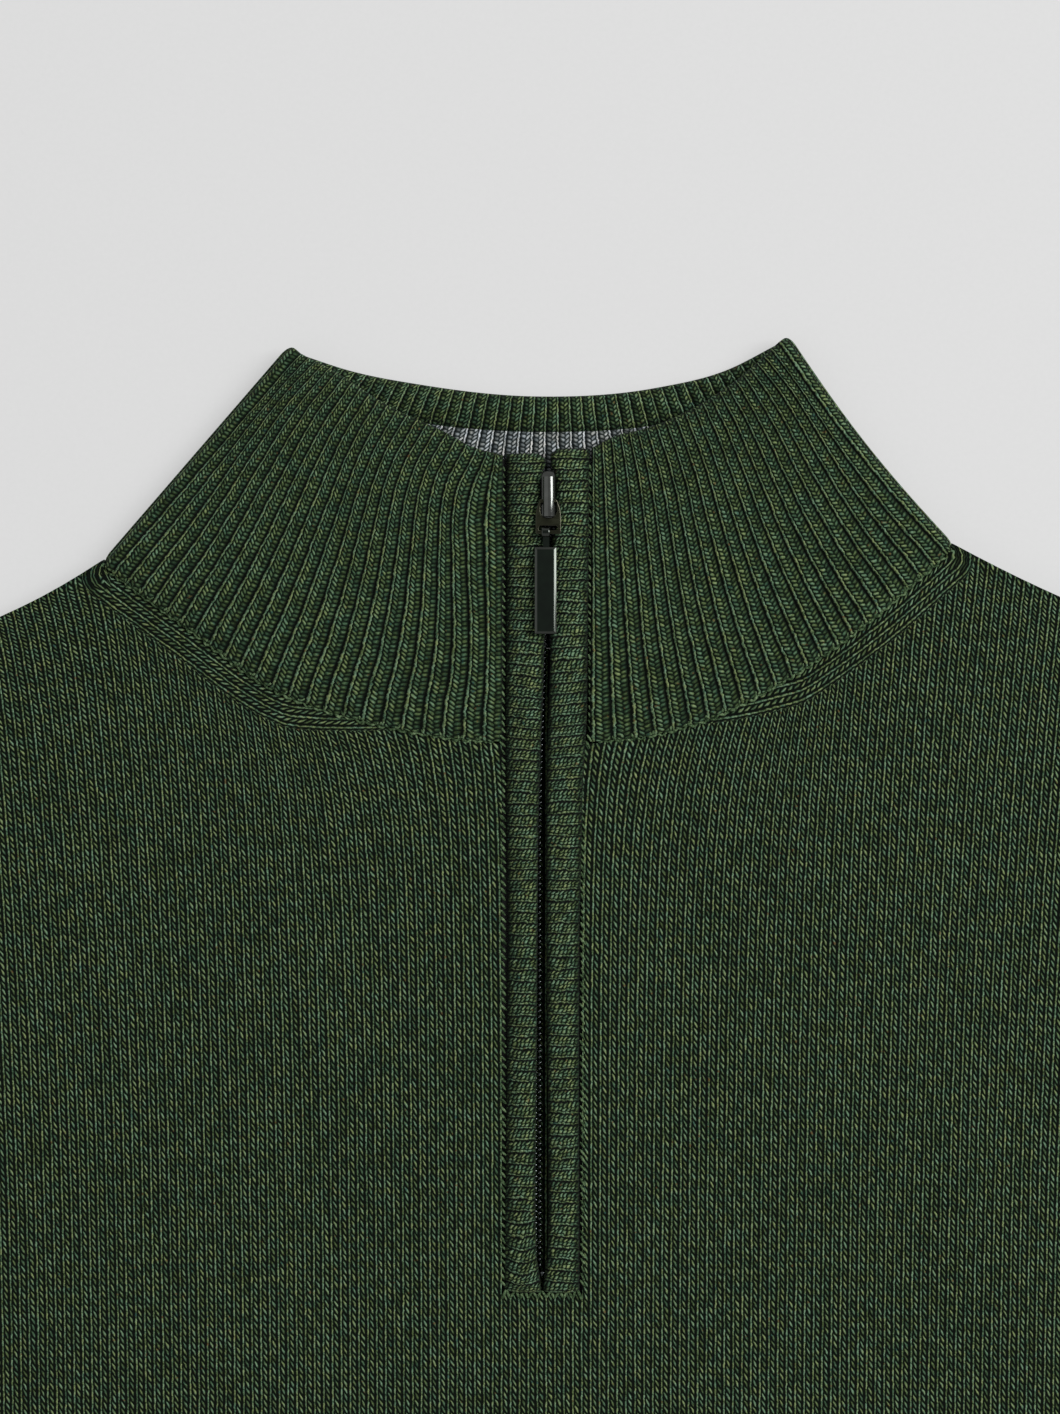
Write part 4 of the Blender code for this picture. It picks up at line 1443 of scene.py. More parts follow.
    def knit(self, plan: np.ndarray) -> np.ndarray:
        """Wales and courses: the wales lean in towards the neck and straighten below.

        Args:
            plan: the panel's plan.

        Returns:
            Wales and courses of each point.
        """
        x = plan[..., 0]
        y = plan[..., 1]
        rise = np.clip((y + self.lean_depth - self.lean_top) / self.lean_depth, 0.0, 1.2)
        share = np.clip(np.abs(x) / self.lean_width, 0.0, 1.0)
        slope = 3.0 * self.lean / self.lean_depth * rise**2 * share
        point = np.array([SHOULDER_POINT])
        top = np.concatenate([point * MIRROR, neckline(60), point])
        below = np.interp(x, top[:, 0], top[:, 1]) - y
        fade = np.exp(-np.clip(below, 0.0, None) / self.fan_depth)
        fan, tilt = self._fan_at(x)
        out = self.lean * rise**3 * share + fan * self.fan_depth * fade
        along = y + 0.5 * slope * np.abs(x) + 0.5 * tilt * fade
        return np.stack([(x - np.sign(x) * out) / WALE, along / COURSE], axis=-1)

    def _border(self, plan: np.ndarray, reach: np.ndarray, length: np.ndarray) -> np.ndarray:
        """Coordinates of the fashioned band, far away where there is none.

        Args:
            plan: the panel's plan.
            reach: distance of each point from the neckline.
            length: length along it.

        Returns:
            The band's wales and courses.
        """
        first, full = self.band_from
        missing = np.clip((full - np.abs(plan[..., 0])) / (full - first), 0.0, 1.5)
        wales = reach / self.band_pitch + self.band_shift * missing
        return np.stack([wales, length / COURSE], axis=-1)

    def front(self) -> bpy.types.Object:
        """The front, with the slit for the zip cut out.

        Returns:
            The piece.
        """
        plan = self._plan(neckline(self.neck_steps), NECK_GAPS[0])
        reach, length = nearest(plan, neckline(260))
        under = self._front_under(plan, reach)
        width, depth = self.edge
        over = lift_points(plan, under + WALL - depth * near(reach, width) ** 2)
        border = self._border(plan, reach, length)
        piece = Cloth("Front", over, lift_points(plan, under), self.knit(plan), border).make()
        slit = block("slit", (SLOT_LEFT, SLOT_END, -5.0), (SLOT_RIGHT, 20.0, 20.0))
        combine(piece, slit, "DIFFERENCE")
        smooth_shade(piece)
        return piece

    def back(self) -> bpy.types.Object:
        """The back, flat on the surface.

        Returns:
            The piece.
        """
        shares = np.linspace(0.0, 1.0, 2 * self.neck_steps)
        plan = self._plan(through(BACK_NECK, shares), NECK_GAPS[1])
        return Cloth("Back", lift_points(plan, WALL), lift_points(plan, 0.0), self.knit(plan)).shaded()


@dataclass
class Ribbing:
    """Round ribs: how high they stand and how finely they are modelled.

    Attributes:
        height: of each rib.
        steps: columns that model one rib.
        power: below 1 makes the ribs broader and the grooves narrower.
        least: share of the height that is left at the ends of a band.
    """

    height: float = 0.9
    steps: int = 8
    power: float = 0.62
    least: float = 0.35

    def shares(self, count: int) -> np.ndarray:
        """Even shares across a row of ribs."""
        return np.linspace(0.0, 1.0, count * self.steps + 1)

    def raised(self, count: int, shares: np.ndarray) -> np.ndarray:
        """Height of the ribs at each share, lowest at both ends."""
        wave = np.abs(np.sin(math.pi * count * np.asarray(shares)))
        return self.height * wave**self.power

    def kept(self, full: Union[float, np.ndarray]) -> Union[float, np.ndarray]:
        """Share of the height that is kept where a band is this full, from 0 to 1."""
        return self.least + (1.0 - self.least) * full


@dataclass
class Hem:
    """The two ribbed bands of the hem.

    Attributes:
        bottom: y of their edges.
        half_width: half their width at the edge.
        ribs: how many there are.
        rows: rows of points from the seam to the edge.
        thinned: how much thinner a band is at its seam and its edge.
        ribbing: the ribs.
    """

    bottom: float = -647.0
    half_width: float = 237.0
    ribs: int = 118
    rows: int = 22
    thinned: float = 0.5
    ribbing: Ribbing = field(default_factory=lambda: Ribbing(steps=6))

    def _band(self, name: str, rest: float, shares: np.ndarray, ribbed: bool) -> bpy.types.Object:
        """One band.

        Args:
            name: the piece's name.
            rest: height of its underside.
            shares: share of each column.
            ribbed: whether its ribs stand up.

        Returns:
            The piece.
        """
        seam_half, seam_y = SIDE_SEAM[-1][1:]
        down = np.linspace(0.0, 1.0, self.rows)
        top = seam_y - SEAM_GAP
        half = seam_half + (self.half_width - seam_half) * down**0.6
        x = half[:, None] * (2.0 * shares - 1.0)
        y = np.broadcast_to((top + (self.bottom - top) * down)[:, None], x.shape)
        plan = np.stack([x, y], axis=-1)
        height = rest + WALL
        if ribbed:
            full = np.sin(math.pi * down)[:, None] ** 0.25
            ribs = self.ribbing.raised(self.ribs, shares) * self.ribbing.kept(full)
            height = height - self.thinned * (1.0 - full) + ribs
        count = np.broadcast_to(shares * self.ribs, x.shape)
        knit = np.stack([count + VALLEY, y / RIB_COURSE], axis=-1)
        band = Cloth(name, lift_points(plan, height), lift_points(plan, rest), knit)
        return band.shaded(70.0 if ribbed else 45.0)

    def front(self) -> bpy.types.Object:
        """The front band, ribbed on top."""
        return self._band("Hem_front", FRONT_REST, self.ribbing.shares(self.ribs), True)

    def back(self) -> bpy.types.Object:
        """The back band, flat on the surface."""
        return self._band("Hem_back", 0.0, np.linspace(0.0, 1.0, self.ribs + 1), False)


# Sleeves


@dataclass
class Sleeve:
    """A sleeve and its cuff: flattened tubes from the armhole to the end of the cuff.

    Attributes:
        side: -1 for the one at -X, 1 for the other.
        end: middle of the cuff's end, on the +X side.
        direction: which way the sleeve runs.
        cuff_length: from the cuff's seam to its end.
        cuff_half_width: half its width at its end.
        cuff_flare: distance from its end where it begins to widen, over what length, and by how much.
        wrist_half_width: half the sleeve's width at the cuff.
        top_bow: how far the sleeve's upper edge bows out.
        bow_power: below 1 moves the bow up the sleeve.
        armhole_gap: between the sleeve and the body.
        inset: share of the width by which the sleeve's inner face is drawn in.
        cuff_inset: the same for the cuff.
        plain: share of the cuff's width at each folded edge that has no ribs.
        thinned: how much lower the ribs' foot is at the cuff's seam and its end.
        fade: how far from the folded edges the soft folds reach their height.
        cuff_ribs: ribs across the cuff.
        ribbing: the ribs.
    """

    side: float
    end: tuple[float, float] = (661.9, -482.4)
    direction: tuple[float, float] = (0.766, -0.643)
    cuff_length: float = 70.0
    cuff_half_width: float = 45.0
    cuff_flare: Rows = ((40.0, 14.0, 2.5), (54.0, 16.0, 4.5))
    wrist_half_width: float = 55.0
    top_bow: float = 22.0
    bow_power: float = 0.75
    armhole_gap: float = 0.45
    inset: float = 0.012
    cuff_inset: float = 0.025
    plain: float = 0.03
    thinned: float = 0.4
    fade: float = 30.0
    cuff_ribs: int = 24
    ribbing: Ribbing = field(default_factory=lambda: Ribbing(steps=6))

    def _frame(self) -> tuple[np.ndarray, np.ndarray, np.ndarray]:
        """Direction, its normal, and the mirror for this side."""
        along = np.array(self.direction)
        return along, np.array([-along[1], along[0]]), np.array([self.side, 1.0])

    def _loop(self, shares: np.ndarray, row: np.ndarray, half: float, extra: np.ndarray) -> np.ndarray:
        """One flattened loop, over the top and back underneath.

        Args:
            shares: share across of each point of the row.
            row: plan of the loop.
            half: half its height.
            extra: what is added on top.

        Returns:
            Its points.
        """
        width = np.linalg.norm(row[-1] - row[0])
        reach = np.minimum(shares, 1.0 - shares) * width
        rise = half * np.sqrt(1.0 - near(reach, half) ** 2)
        upper = lift_points(row, FOLD_MIDDLE + rise + extra)
        lower = lift_points(row, FOLD_MIDDLE - rise)
        return np.concatenate([upper, lower[1:-1][::-1]])

    def _around(self, shares: np.ndarray) -> np.ndarray:
        """Shares round a loop, from 0 to 2, with its first point again at the end."""
        return np.concatenate([shares, 2.0 - shares[1:-1][::-1], [2.0]])

    def _edged(self, edge: Sequence[float], middle: np.ndarray) -> np.ndarray:
        """Shares across the tube, closer by its folded edges."""
        return np.concatenate([edge, middle, 1.0 - np.array(edge)[::-1]])

    def _plan(self, shares: np.ndarray, along: np.ndarray, inset: float) -> np.ndarray:
        """Plan of the sleeve, drawn in by a share of its width for the inner face.

        Args:
            shares: shares across the tube.
            along: shares down the sleeve.
            inset: the share to draw it in by.

        Returns:
            The points, rows by columns.
        """
        direction, normal, mirror = self._frame()
        narrow = inset + (1.0 - 2.0 * inset) * shares
        wrist = np.array(self.end) - direction * (self.cuff_length + SEAM_GAP)
        outer = wrist + normal * self.wrist_half_width
        inner = wrist - normal * self.wrist_half_width
        gap = np.array([self.armhole_gap, 0.0])
        start = np.array(SHOULDER_POINT) + gap
        low_start = np.array(UNDERARM) + gap
        bow = (np.sin(math.pi * along**self.bow_power) * self.top_bow)[:, None] * normal
        top = start + (outer - start) * along[:, None] + bow
        low = low_start + (inner - low_start) * along[:, None]
        armhole = through(ARMHOLE, narrow) + gap
        cuff = top[-1] + (low[-1] - top[-1]) * narrow[:, None]
        edge = top + (low - top) * inset
        other = low + (top - low) * inset
        return patch(armhole, cuff, edge, other, shares, along) * mirror

    def _tube(
        self, name: str, outer: list[np.ndarray], inner: list[np.ndarray], knit: list[np.ndarray]
    ) -> Cloth:
        """A tube of cloth from its loops, named by its side."""
        faces = (np.array(outer), np.array(inner), np.array(knit))
        return Cloth(by_side(name, self.side), *faces, ring=True)

    def sleeve(self) -> bpy.types.Object:
        """The sleeve itself.

        Returns:
            The piece.
        """
        edge = (0.0, 0.0008, 0.0024, 0.005, 0.009, 0.014, 0.02)
        shares = self._edged(edge, np.linspace(0.05, 0.95, 40))
        along = np.linspace(0.0, 1.0, 110)
        outer = []
        knit = []
        plan = self._plan(shares, along, 0.0)
        for row, down in zip(plan, run_lengths(plan, 0).mean(axis=1)):
            width = np.linalg.norm(row[-1] - row[0])
            fade = smooth(np.minimum(shares, 1.0 - shares) * width / self.fade)
            outer.append(self._loop(shares, row, FOLD_MIDDLE, folds_at(row, FOLDS) * fade))
            around = self._around(shares) * width / WALE
            knit.append(np.stack([around, np.full(len(around), -down / COURSE)], axis=-1))
        plan = self._plan(shares, along, self.inset)
        inner = [self._loop(shares, row, SEAM_GAP / 2, 0.0 * shares) for row in plan]
        return self._tube("Sleeve", outer, inner, knit).shaded()

    def cuff(self) -> bpy.types.Object:
        """The ribbed cuff.

        Returns:
            The piece.
        """
        direction, normal, mirror = self._frame()
        ribbed = 1.0 - 2.0 * self.plain
        ribs = np.linspace(self.plain, 1.0 - self.plain, self.cuff_ribs * self.ribbing.steps + 1)
        shares = self._edged((0.0, 0.003, 0.008, 0.018), ribs)
        narrow = self.cuff_inset + (1.0 - 2.0 * self.cuff_inset) * shares
        raised = self.ribbing.raised(self.cuff_ribs, np.clip((shares - self.plain) / ribbed, 0.0, 1.0))
        around = (self._around(shares) - self.plain) / ribbed * self.cuff_ribs + VALLEY
        outer = []
        inner = []
        knit = []
        for part in np.linspace(0.0, 1.0, 26):
            back = self.cuff_length * (1.0 - part)
            half = self.cuff_half_width
            for start, length, wide in self.cuff_flare:
                half = half + wide * smooth((back - start) / length)
            middle = np.array(self.end) - direction * back
            row, inner_row = (
                (middle + normal * half * (1.0 - 2.0 * at[:, None])) * mirror for at in (shares, narrow)
            )
            full = math.sin(math.pi * part) ** 0.25 if 0.0 < part < 1.0 else 0.0
            lowered = self.thinned * (1.0 - full) * smooth(raised * 3.0)
            outer.append(self._loop(shares, row, FOLD_MIDDLE, raised * self.ribbing.kept(full) - lowered))
            inner.append(self._loop(shares, inner_row, SEAM_GAP / 2, 0.0 * shares))
            knit.append(np.stack([around, np.full(len(around), back / RIB_COURSE)], axis=-1))
        return self._tube("Cuff", outer, inner, knit).shaded(70.0)


# Collar


@dataclass
class Collar:
    """The standing collar: a ribbed outer strip turned in at the top, and a grey inner layer.

    Attributes:
        left_ribs: ribs of the left front half.
        right_ribs: ribs of the right front half.
        back_ribs: ribs of the back.
        fold_ribs: ribs round each fold.
        right_bow: how far the right folded edge bows.
        fold_width: reach of the folded edges past their middle line.
        middle: height of the folds' middle.
        outer_face: from there to the outer faces.
        turned_face: from there to the face of the turned-in edge.
        inner_face: from there to the inner face of the grey layer.
        turn_in: share of the height where the turned-in edge begins.
        tip_from: share of the height where the collar's rounded tip begins.
        tip_length: share of the height over which it is rounded.
        root: share of the height over which the outer faces rise from the seam.
        root_drop: how far they are sunk at the seam.
        puff: soft fullness of the front halves.
        drift: how far the ribs sway towards the fold, as a share of the width.
        sway: how much of the drift there is at each share of the height.
        ribbing: the ribs.
    """

    left_ribs: int = 23
    right_ribs: int = 22
    back_ribs: int = 42
    fold_ribs: int = 3
    right_bow: float = -1.6
    fold_width: float = 3.2
    middle: float = 3.85
    outer_face: float = 3.85
    turned_face: float = 0.45
    inner_face: float = 0.25
    turn_in: float = 0.873
    tip_from: float = 0.955
    tip_length: float = 0.045
    root: float = 0.04
    root_drop: float = 0.9
    puff: float = 1.2
    drift: Rows = (  # share from the zip to the fold, drift on the left, drift on the right
        (0.00, 0.000, 0.000),
        (0.08, 0.038, 0.003),
        (0.20, 0.040, 0.012),
        (0.32, 0.034, 0.014),
        (0.44, 0.024, 0.012),
        (0.60, 0.014, 0.010),
        (0.80, 0.018, 0.014),
        (0.90, 0.018, 0.018),
        (1.00, 0.000, 0.000),
    )
    sway: Rows = (  # share of the height, share of the drift
        (0.00, 0.10),
        (0.10, 0.12),
        (0.22, 0.00),
        (0.40, 0.12),
        (0.60, 0.60),
        (0.78, 1.00),
        (0.86, 0.80),
        (0.95, 0.00),
        (1.00, -0.45),
    )
    ribbing: Ribbing = field(default_factory=lambda: Ribbing(height=0.75, power=0.42))

    def _fold_line(self, table: Rows, bow: float, rows: np.ndarray) -> np.ndarray:
        """Middle line of a folded edge, from its seam to its tip.

        Args:
            table: the front half that it ends.
            bow: how far it bows.
            rows: shares of the height.

        Returns:
            Its points.
        """
        seam = np.array(table[-1][1:3])
        tip = np.array(table[-1][3:5])
        run = tip - seam
        inward = np.array([run[1], -run[0]]) / np.linalg.norm(run)
        return seam + run * rows[:, None] + inward * (bow * np.sin(math.pi * rows))[:, None]

    def _half(self, table: Rows, bow: float, shares: np.ndarray, rows: np.ndarray) -> np.ndarray:
        """Plan of a front half, from the zip to the fold.

        Args:
            table: rows of its seam and its top edge.
            bow: how far its folded edge bows.
            shares: shares from the zip to the fold.
            rows: shares of the height.

        Returns:
            The points, rows by columns.
        """
        start = np.array(table[0][1:3])
        end = np.array(table[0][3:5])
        zip_edge = start + (end - start) * rows[:, None]
        fold_edge = self._fold_line(table, bow, rows)
        drift = through(self.drift, shares)[:, 0 if table is COLLAR_LEFT else 1]
        plan = []
        for index, sway in enumerate(through(self.sway, rows)[:, 0]):
            moved = np.clip(shares + drift * sway, 0.0, 1.0)
            edges = through(table, moved)
            at = slice(index, index + 1)
            plan.append(patch(edges[:, :2], edges[:, 2:], zip_edge[at], fold_edge[at], moved, rows[at])[0])
        return np.array(plan)

    def _back(self, shares: np.ndarray, rows: np.ndarray) -> np.ndarray:
        """Plan of the back, from the left fold to the right.

        Args:
            shares: shares from fold to fold.
            rows: shares of the height.

        Returns:
            The points, rows by columns.
        """
        left = self._fold_line(COLLAR_LEFT, 0.0, rows)
        right = self._fold_line(COLLAR_RIGHT, self.right_bow, rows)
        return patch(through(BACK_NECK, shares), through(BACK_EDGE, shares), left, right, shares, rows)

    def _fold(
        self, table: Rows, bow: float, rows: np.ndarray, side: float, faces: np.ndarray, ribs: float
    ) -> np.ndarray:
        """The rounded fold, from the front round the edge to the back, without its ends.

        Args:
            table: the front half that it ends.
            bow: how far its line bows.
            rows: shares of the height.
            side: -1 for the left fold, 1 for the right one.
            faces: distance from the fold's middle at each row.
            ribs: share of the ribs' height.

        Returns:
            The points.
        """
        centre = self._fold_line(table, bow, rows)
        run = np.array(table[-1][3:5]) - np.array(table[-1][1:3])
        outward = np.array([-run[1], run[0]]) / np.linalg.norm(run) * (-side)
        width = faces * self.fold_width / self.outer_face
        columns = []
        for share in self.ribbing.shares(self.fold_ribs)[1:-1]:
            angle = math.pi / 2 - math.pi * share
            lift = ribs * float(self.ribbing.raised(self.fold_ribs, np.array(share)))
            lift = lift * (1.0 + math.sin(angle)) / 2.0
            plan = centre + outward * (width + lift)[:, None] * math.cos(angle)
            columns.append(lift_points(plan, self.middle + (faces + lift) * math.sin(angle)))
        return np.stack(columns, axis=1)

    def _puffed(self, shares: np.ndarray, rows: np.ndarray) -> np.ndarray:
        """Soft fullness of a front half, with a slow wave across it."""
        body = np.outer(np.sin(math.pi * np.clip(rows, 0.0, 1.0)) ** 0.8, np.sin(math.pi * shares))
        return self.puff * body * (1.0 + 0.18 * np.sin(7.0 * shares + 1.0)[None])

    def _sheet(
        self, rows: np.ndarray, faces: np.ndarray, front: np.ndarray, back: np.ndarray
    ) -> tuple[np.ndarray, np.ndarray]:
        """One face of the collar, from the zip's left side round the back to its right side.

        Args:
            rows: shares of the height.
            faces: distance from the fold's middle at each row.
            front: share of the ribs' height on the front halves at each row.
            back: ribs' height on the back at each row.

        Returns:
            The points, and the ribs' own coordinate at each column.
        """
        face = faces[:, None]
        halves = []
        folds = []
        for table, bow, ribs, side in (
            (COLLAR_LEFT, 0.0, self.left_ribs, -1.0),
            (COLLAR_RIGHT, self.right_bow, self.right_ribs, 1.0),
        ):
            shares = self.ribbing.shares(ribs)
            height = self.middle + face + front[:, None] * self.ribbing.raised(ribs, shares)
            plan = self._half(table, bow, shares, rows)
            halves.append(lift_points(plan, height + self._puffed(shares, rows)))
            folds.append(self._fold(table, bow, rows, side, faces, float(front.max())))
        shares = self.ribbing.shares(self.back_ribs)
        raised = back[:, None] * self.ribbing.raised(self.back_ribs, shares) / self.ribbing.height
        behind = lift_points(self._back(shares, rows), self.middle - face + raised)
        parts = (halves[0], folds[0], behind, folds[1][:, ::-1], halves[1][:, ::-1])
        points = np.concatenate(parts, axis=1)
        return points, VALLEY - np.arange(points.shape[1]) / self.ribbing.steps

    def _layer(
        self, name: str, over: tuple[np.ndarray, np.ndarray], under: tuple[np.ndarray, np.ndarray]
    ) -> bpy.types.Object:
        """A layer between two faces, with ribs across and courses up.

        Args:
            name: the piece's name.
            over: points of its outer face, and its ribs' coordinate.
            under: the same of its inner face.

        Returns:
            The piece.
        """
        points, ribs = over
        rise = run_lengths(points[..., :2], 0) / RIB_COURSE
        knit = np.stack([np.broadcast_to(ribs, rise.shape), rise], axis=-1)
        return Cloth(name, points, under[0], knit).shaded(80.0)

    def _outer_rows(self) -> np.ndarray:
        """Shares of the height, closer at the seam and round the tip.

        Returns:
            The shares.
        """
        seam = (0.0, 0.006, 0.014, 0.026, 0.045)
        middle = np.linspace(0.075, self.turn_in - 0.03, 24)
        turn = (self.turn_in - 0.006, self.turn_in)
        tip = (0.9, 0.925, 0.945, 0.96, 0.972, 0.982, 0.990, 0.996, 1.0)
        return np.concatenate([seam, middle, turn, tip])

    def outer(self) -> bpy.types.Object:
        """The green outer strip with its turned-in top edge.

        Returns:
            The piece.
        """
        rows = self._outer_rows()
        tipped = rows > self.tip_from
        tip = np.clip((rows - self.tip_from) / self.tip_length, 0.0, 1.0)
        round_tip = np.sqrt(np.clip(1.0 - tip**2, 0.0, 1.0))
        bulge = (self.outer_face - self.turned_face) / 2 * np.maximum(round_tip, 0.06)
        centre = (self.outer_face + self.turned_face) / 2
        root = 1.0 - smooth(rows / self.root)
        over_face = np.where(tipped, centre + bulge, self.outer_face) - self.root_drop * root
        inner = np.where(rows < self.turn_in, self.outer_face - WALL, self.turned_face)
        under_face = np.where(tipped, centre - bulge, inner)
        kept = np.where(tipped, round_tip, 1.0)
        band = 0.5 * smooth((rows - self.turn_in + 0.002) / 0.02) * kept
        over = self._sheet(rows, over_face, kept * (1.0 - 0.5 * root), 0.0 * rows)
        under = self._sheet(rows, under_face, 0.0 * rows, band)
        return self._layer("Collar", over, under)

    def inner(self) -> bpy.types.Object:
        """The grey layer inside, below the turned-in edge.

        Returns:
            The piece.
        """
        rows = np.linspace(0.01, 0.86, 20)
        flat = np.zeros(len(rows))
        over = self._sheet(rows, flat + (self.outer_face - WALL - SEAM_GAP), flat, flat)
        under = self._sheet(rows, flat + self.inner_face, flat, flat + 0.3)
        return self._layer("Collar_inner", over, under)

# Zip


@dataclass
class Placket:
    """The two strips of rib turned sideways over the zip.

    Attributes:
        end: where both strips end below.
        edges: y, the left strip's outer edge, the right strip's.
        tops: where the strips end above.
        ribs: ribs of each strip.
        thickness: of the strips under their ribs.
        least: of what is left of them at their rounded edges.
        columns: shares from the inner edge to the outer one.
        ribbing: the ribs.
        stretch: how much wider the ribs are spaced below than above, for each strip.
        falls: how far the inner and the outer edge slope down, for each strip.
        opening: half the gap between the strips.
        slider_half: the same beside the slider.
        slider_lift: how much the slider lifts the strips.
        coil_lift: how much the coil lifts their inner edges.
    """

    end: float = -132.2
    edges: Rows = (
        (-132.2, -9.9, 8.3),
        (-80.0, -9.3, 8.2),
        (-45.0, -8.9, 8.3),
        (-15.0, -9.3, 9.0),
        (8.0, -9.6, 10.1),
        (40.0, -9.4, 10.5),
        (70.4, -9.3, 10.8),
    )
    tops: tuple[float, float] = (69.2, 70.4)
    ribs: int = 76
    thickness: float = 2.6
    least: float = 0.45
    columns: tuple[float, ...] = (
        0.0, 0.012, 0.03, 0.06, 0.10, 0.16, 0.24, 0.32, 0.40,
        0.48, 0.56, 0.64, 0.72, 0.80, 0.87, 0.93, 0.97, 1.0,
    )
    ribbing: Ribbing = field(default_factory=lambda: Ribbing(height=0.72, power=0.5))
    stretch: tuple[float, float] = (0.07, 0.01)
    falls: Rows = (
        (0.75, 2.20),
        (1.25, 1.30),
    )
    opening: Rows = (  # y, half the gap
        (-132.2, 0.2),
        (-128.5, 0.5),
        (-124.0, 1.3),
        (-112.0, 1.6),
        (-80.0, 1.35),
        (-28.0, 0.95),
        (12.0, 0.75),
        (47.0, 0.70),
        (58.0, 0.80),
        (64.3, 0.95),
        (68.2, 0.50),
        (70.4, 0.45),
    )
    slider_half: float = 1.6
    slider_lift: float = 1.4
    coil_lift: float = 0.62

    def _rows(self, top: float, stretch: float) -> tuple[np.ndarray, np.ndarray]:
        """Shares along a strip and the y of each, with ribs spaced a little unevenly.

        Args:
            top: where the strip ends.
            stretch: how unevenly its ribs are spaced.

        Returns:
            The shares and the y.
        """
        along = self.ribbing.shares(self.ribs)
        uneven = 0.0016 * np.sin(33.0 * along) + 0.0006 * np.sin(107.0 * along + 1.0)
        eased = along + stretch * along * (1.0 - along) + uneven * np.sin(math.pi * along)
        return along, self.end + (top - self.end) * eased

    def _sag(self, side: float, ys: np.ndarray, shares: np.ndarray) -> np.ndarray:
        """How far the ribs drop from level: at the strip's foot and over the collar's seam.

        Args:
            side: -1 for the left strip, 1 for the right one.
            ys: y of each rib.
            shares: shares across the strip.

        Returns:
            The drops.
        """
        foot = smooth((ys - self.end) / 5.0) * smooth((self.end + 22.0 - ys) / 14.0)
        bow = 1.5 * (1.0 - (2.0 * shares - 1.0) ** 2) if side < 0 else 0.7 * shares**2
        seam = smooth(1.0 - np.abs(ys - 10.0) / 34.0)
        return foot * bow + 0.9 * seam * (1.0 - shares)

    def _fall(self, which: int, shares: np.ndarray, ys: np.ndarray) -> tuple[np.ndarray, np.ndarray]:
        """How far a strip's top falls away: towards its long edges, and at its two ends.

        Args:
            which: 0 for the left strip, 1 for the right one.
            shares: shares across it.
            ys: y of each rib.

        Returns:
            Both falls.
        """
        inner_fall, outer_fall = self.falls[which]
        fall = inner_fall * near(shares, 0.4) ** 2
        fall = fall + outer_fall * np.clip((shares - 0.5) / 0.5, 0.0, None) ** 1.7 - 0.1
        fall = fall + 0.9 * near(shares, 0.06) ** 2
        fall = fall + 0.5 * near(1.0 - shares, 0.06) ** 2
        tip = 1.2 * near(self.tops[which] - ys, 1.8) ** 2
        return fall, tip + 0.9 * near(ys - self.end, 1.4) ** 2

    def strip(self, side: float) -> bpy.types.Object:
        """One strip.

        Args:
            side: -1 for the left one, 1 for the right one.

        Returns:
            The piece.
        """
        which = 0 if side < 0 else 1
        top = self.tops[which]
        along, ys = self._rows(top, self.stretch[which])
        shares = np.array(self.columns)[:, None]
        zone = slider_zone(ys)
        gap = np.interp(ys, *np.array(self.opening).T)
        corner = 1.7 * smooth((ys - top + 2.2) / 2.2) ** 2
        inner_x = split_line(ys) + side * (gap + zone * (self.slider_half - gap) + corner)
        table = np.array(self.edges)
        outer_x = np.interp(ys, table[:, 0], table[:, 1 + which])
        x = inner_x + (outer_x - inner_x) * shares
        y = ys - self._sag(side, ys, shares)
        lifted = zone * np.interp(shares, [0.0, 0.5, 1.0], [1.0, 0.9, 0.0])
        base = zip_rest(ys) + TAPE_TOP + SEAM_GAP + self.slider_lift * lifted
        fall, tip = self._fall(which, shares, ys)
        fade = np.interp(shares, [0.0, 0.04, 0.93, 1.0], [0.3, 1.0, 1.0, 0.5])
        ribs = self.ribbing.raised(self.ribs, along) * fade
        under = base + self.coil_lift * smooth((3.2 - np.abs(x - inner_x)) / 1.0) * (1.0 - zone)
        z = base + self.thickness * (1.0 - 0.25 * lifted) - fall + ribs - tip
        over = np.stack([x, y, np.maximum(z, under + self.least)], axis=-1)
        count = np.broadcast_to((1.0 - along) * self.ribs, x.shape)
        knit = np.stack([count + STRIP_VALLEY, x / STRIP_COURSE], axis=-1)
        # Shares across the strip, from which the material paints shade on its long edges.
        border = np.stack([np.broadcast_to(shares, x.shape), count], axis=-1)
        low = np.stack([x, y, under], axis=-1)
        return Cloth(by_side("Placket", side), over, low, knit, border).shaded(80.0)


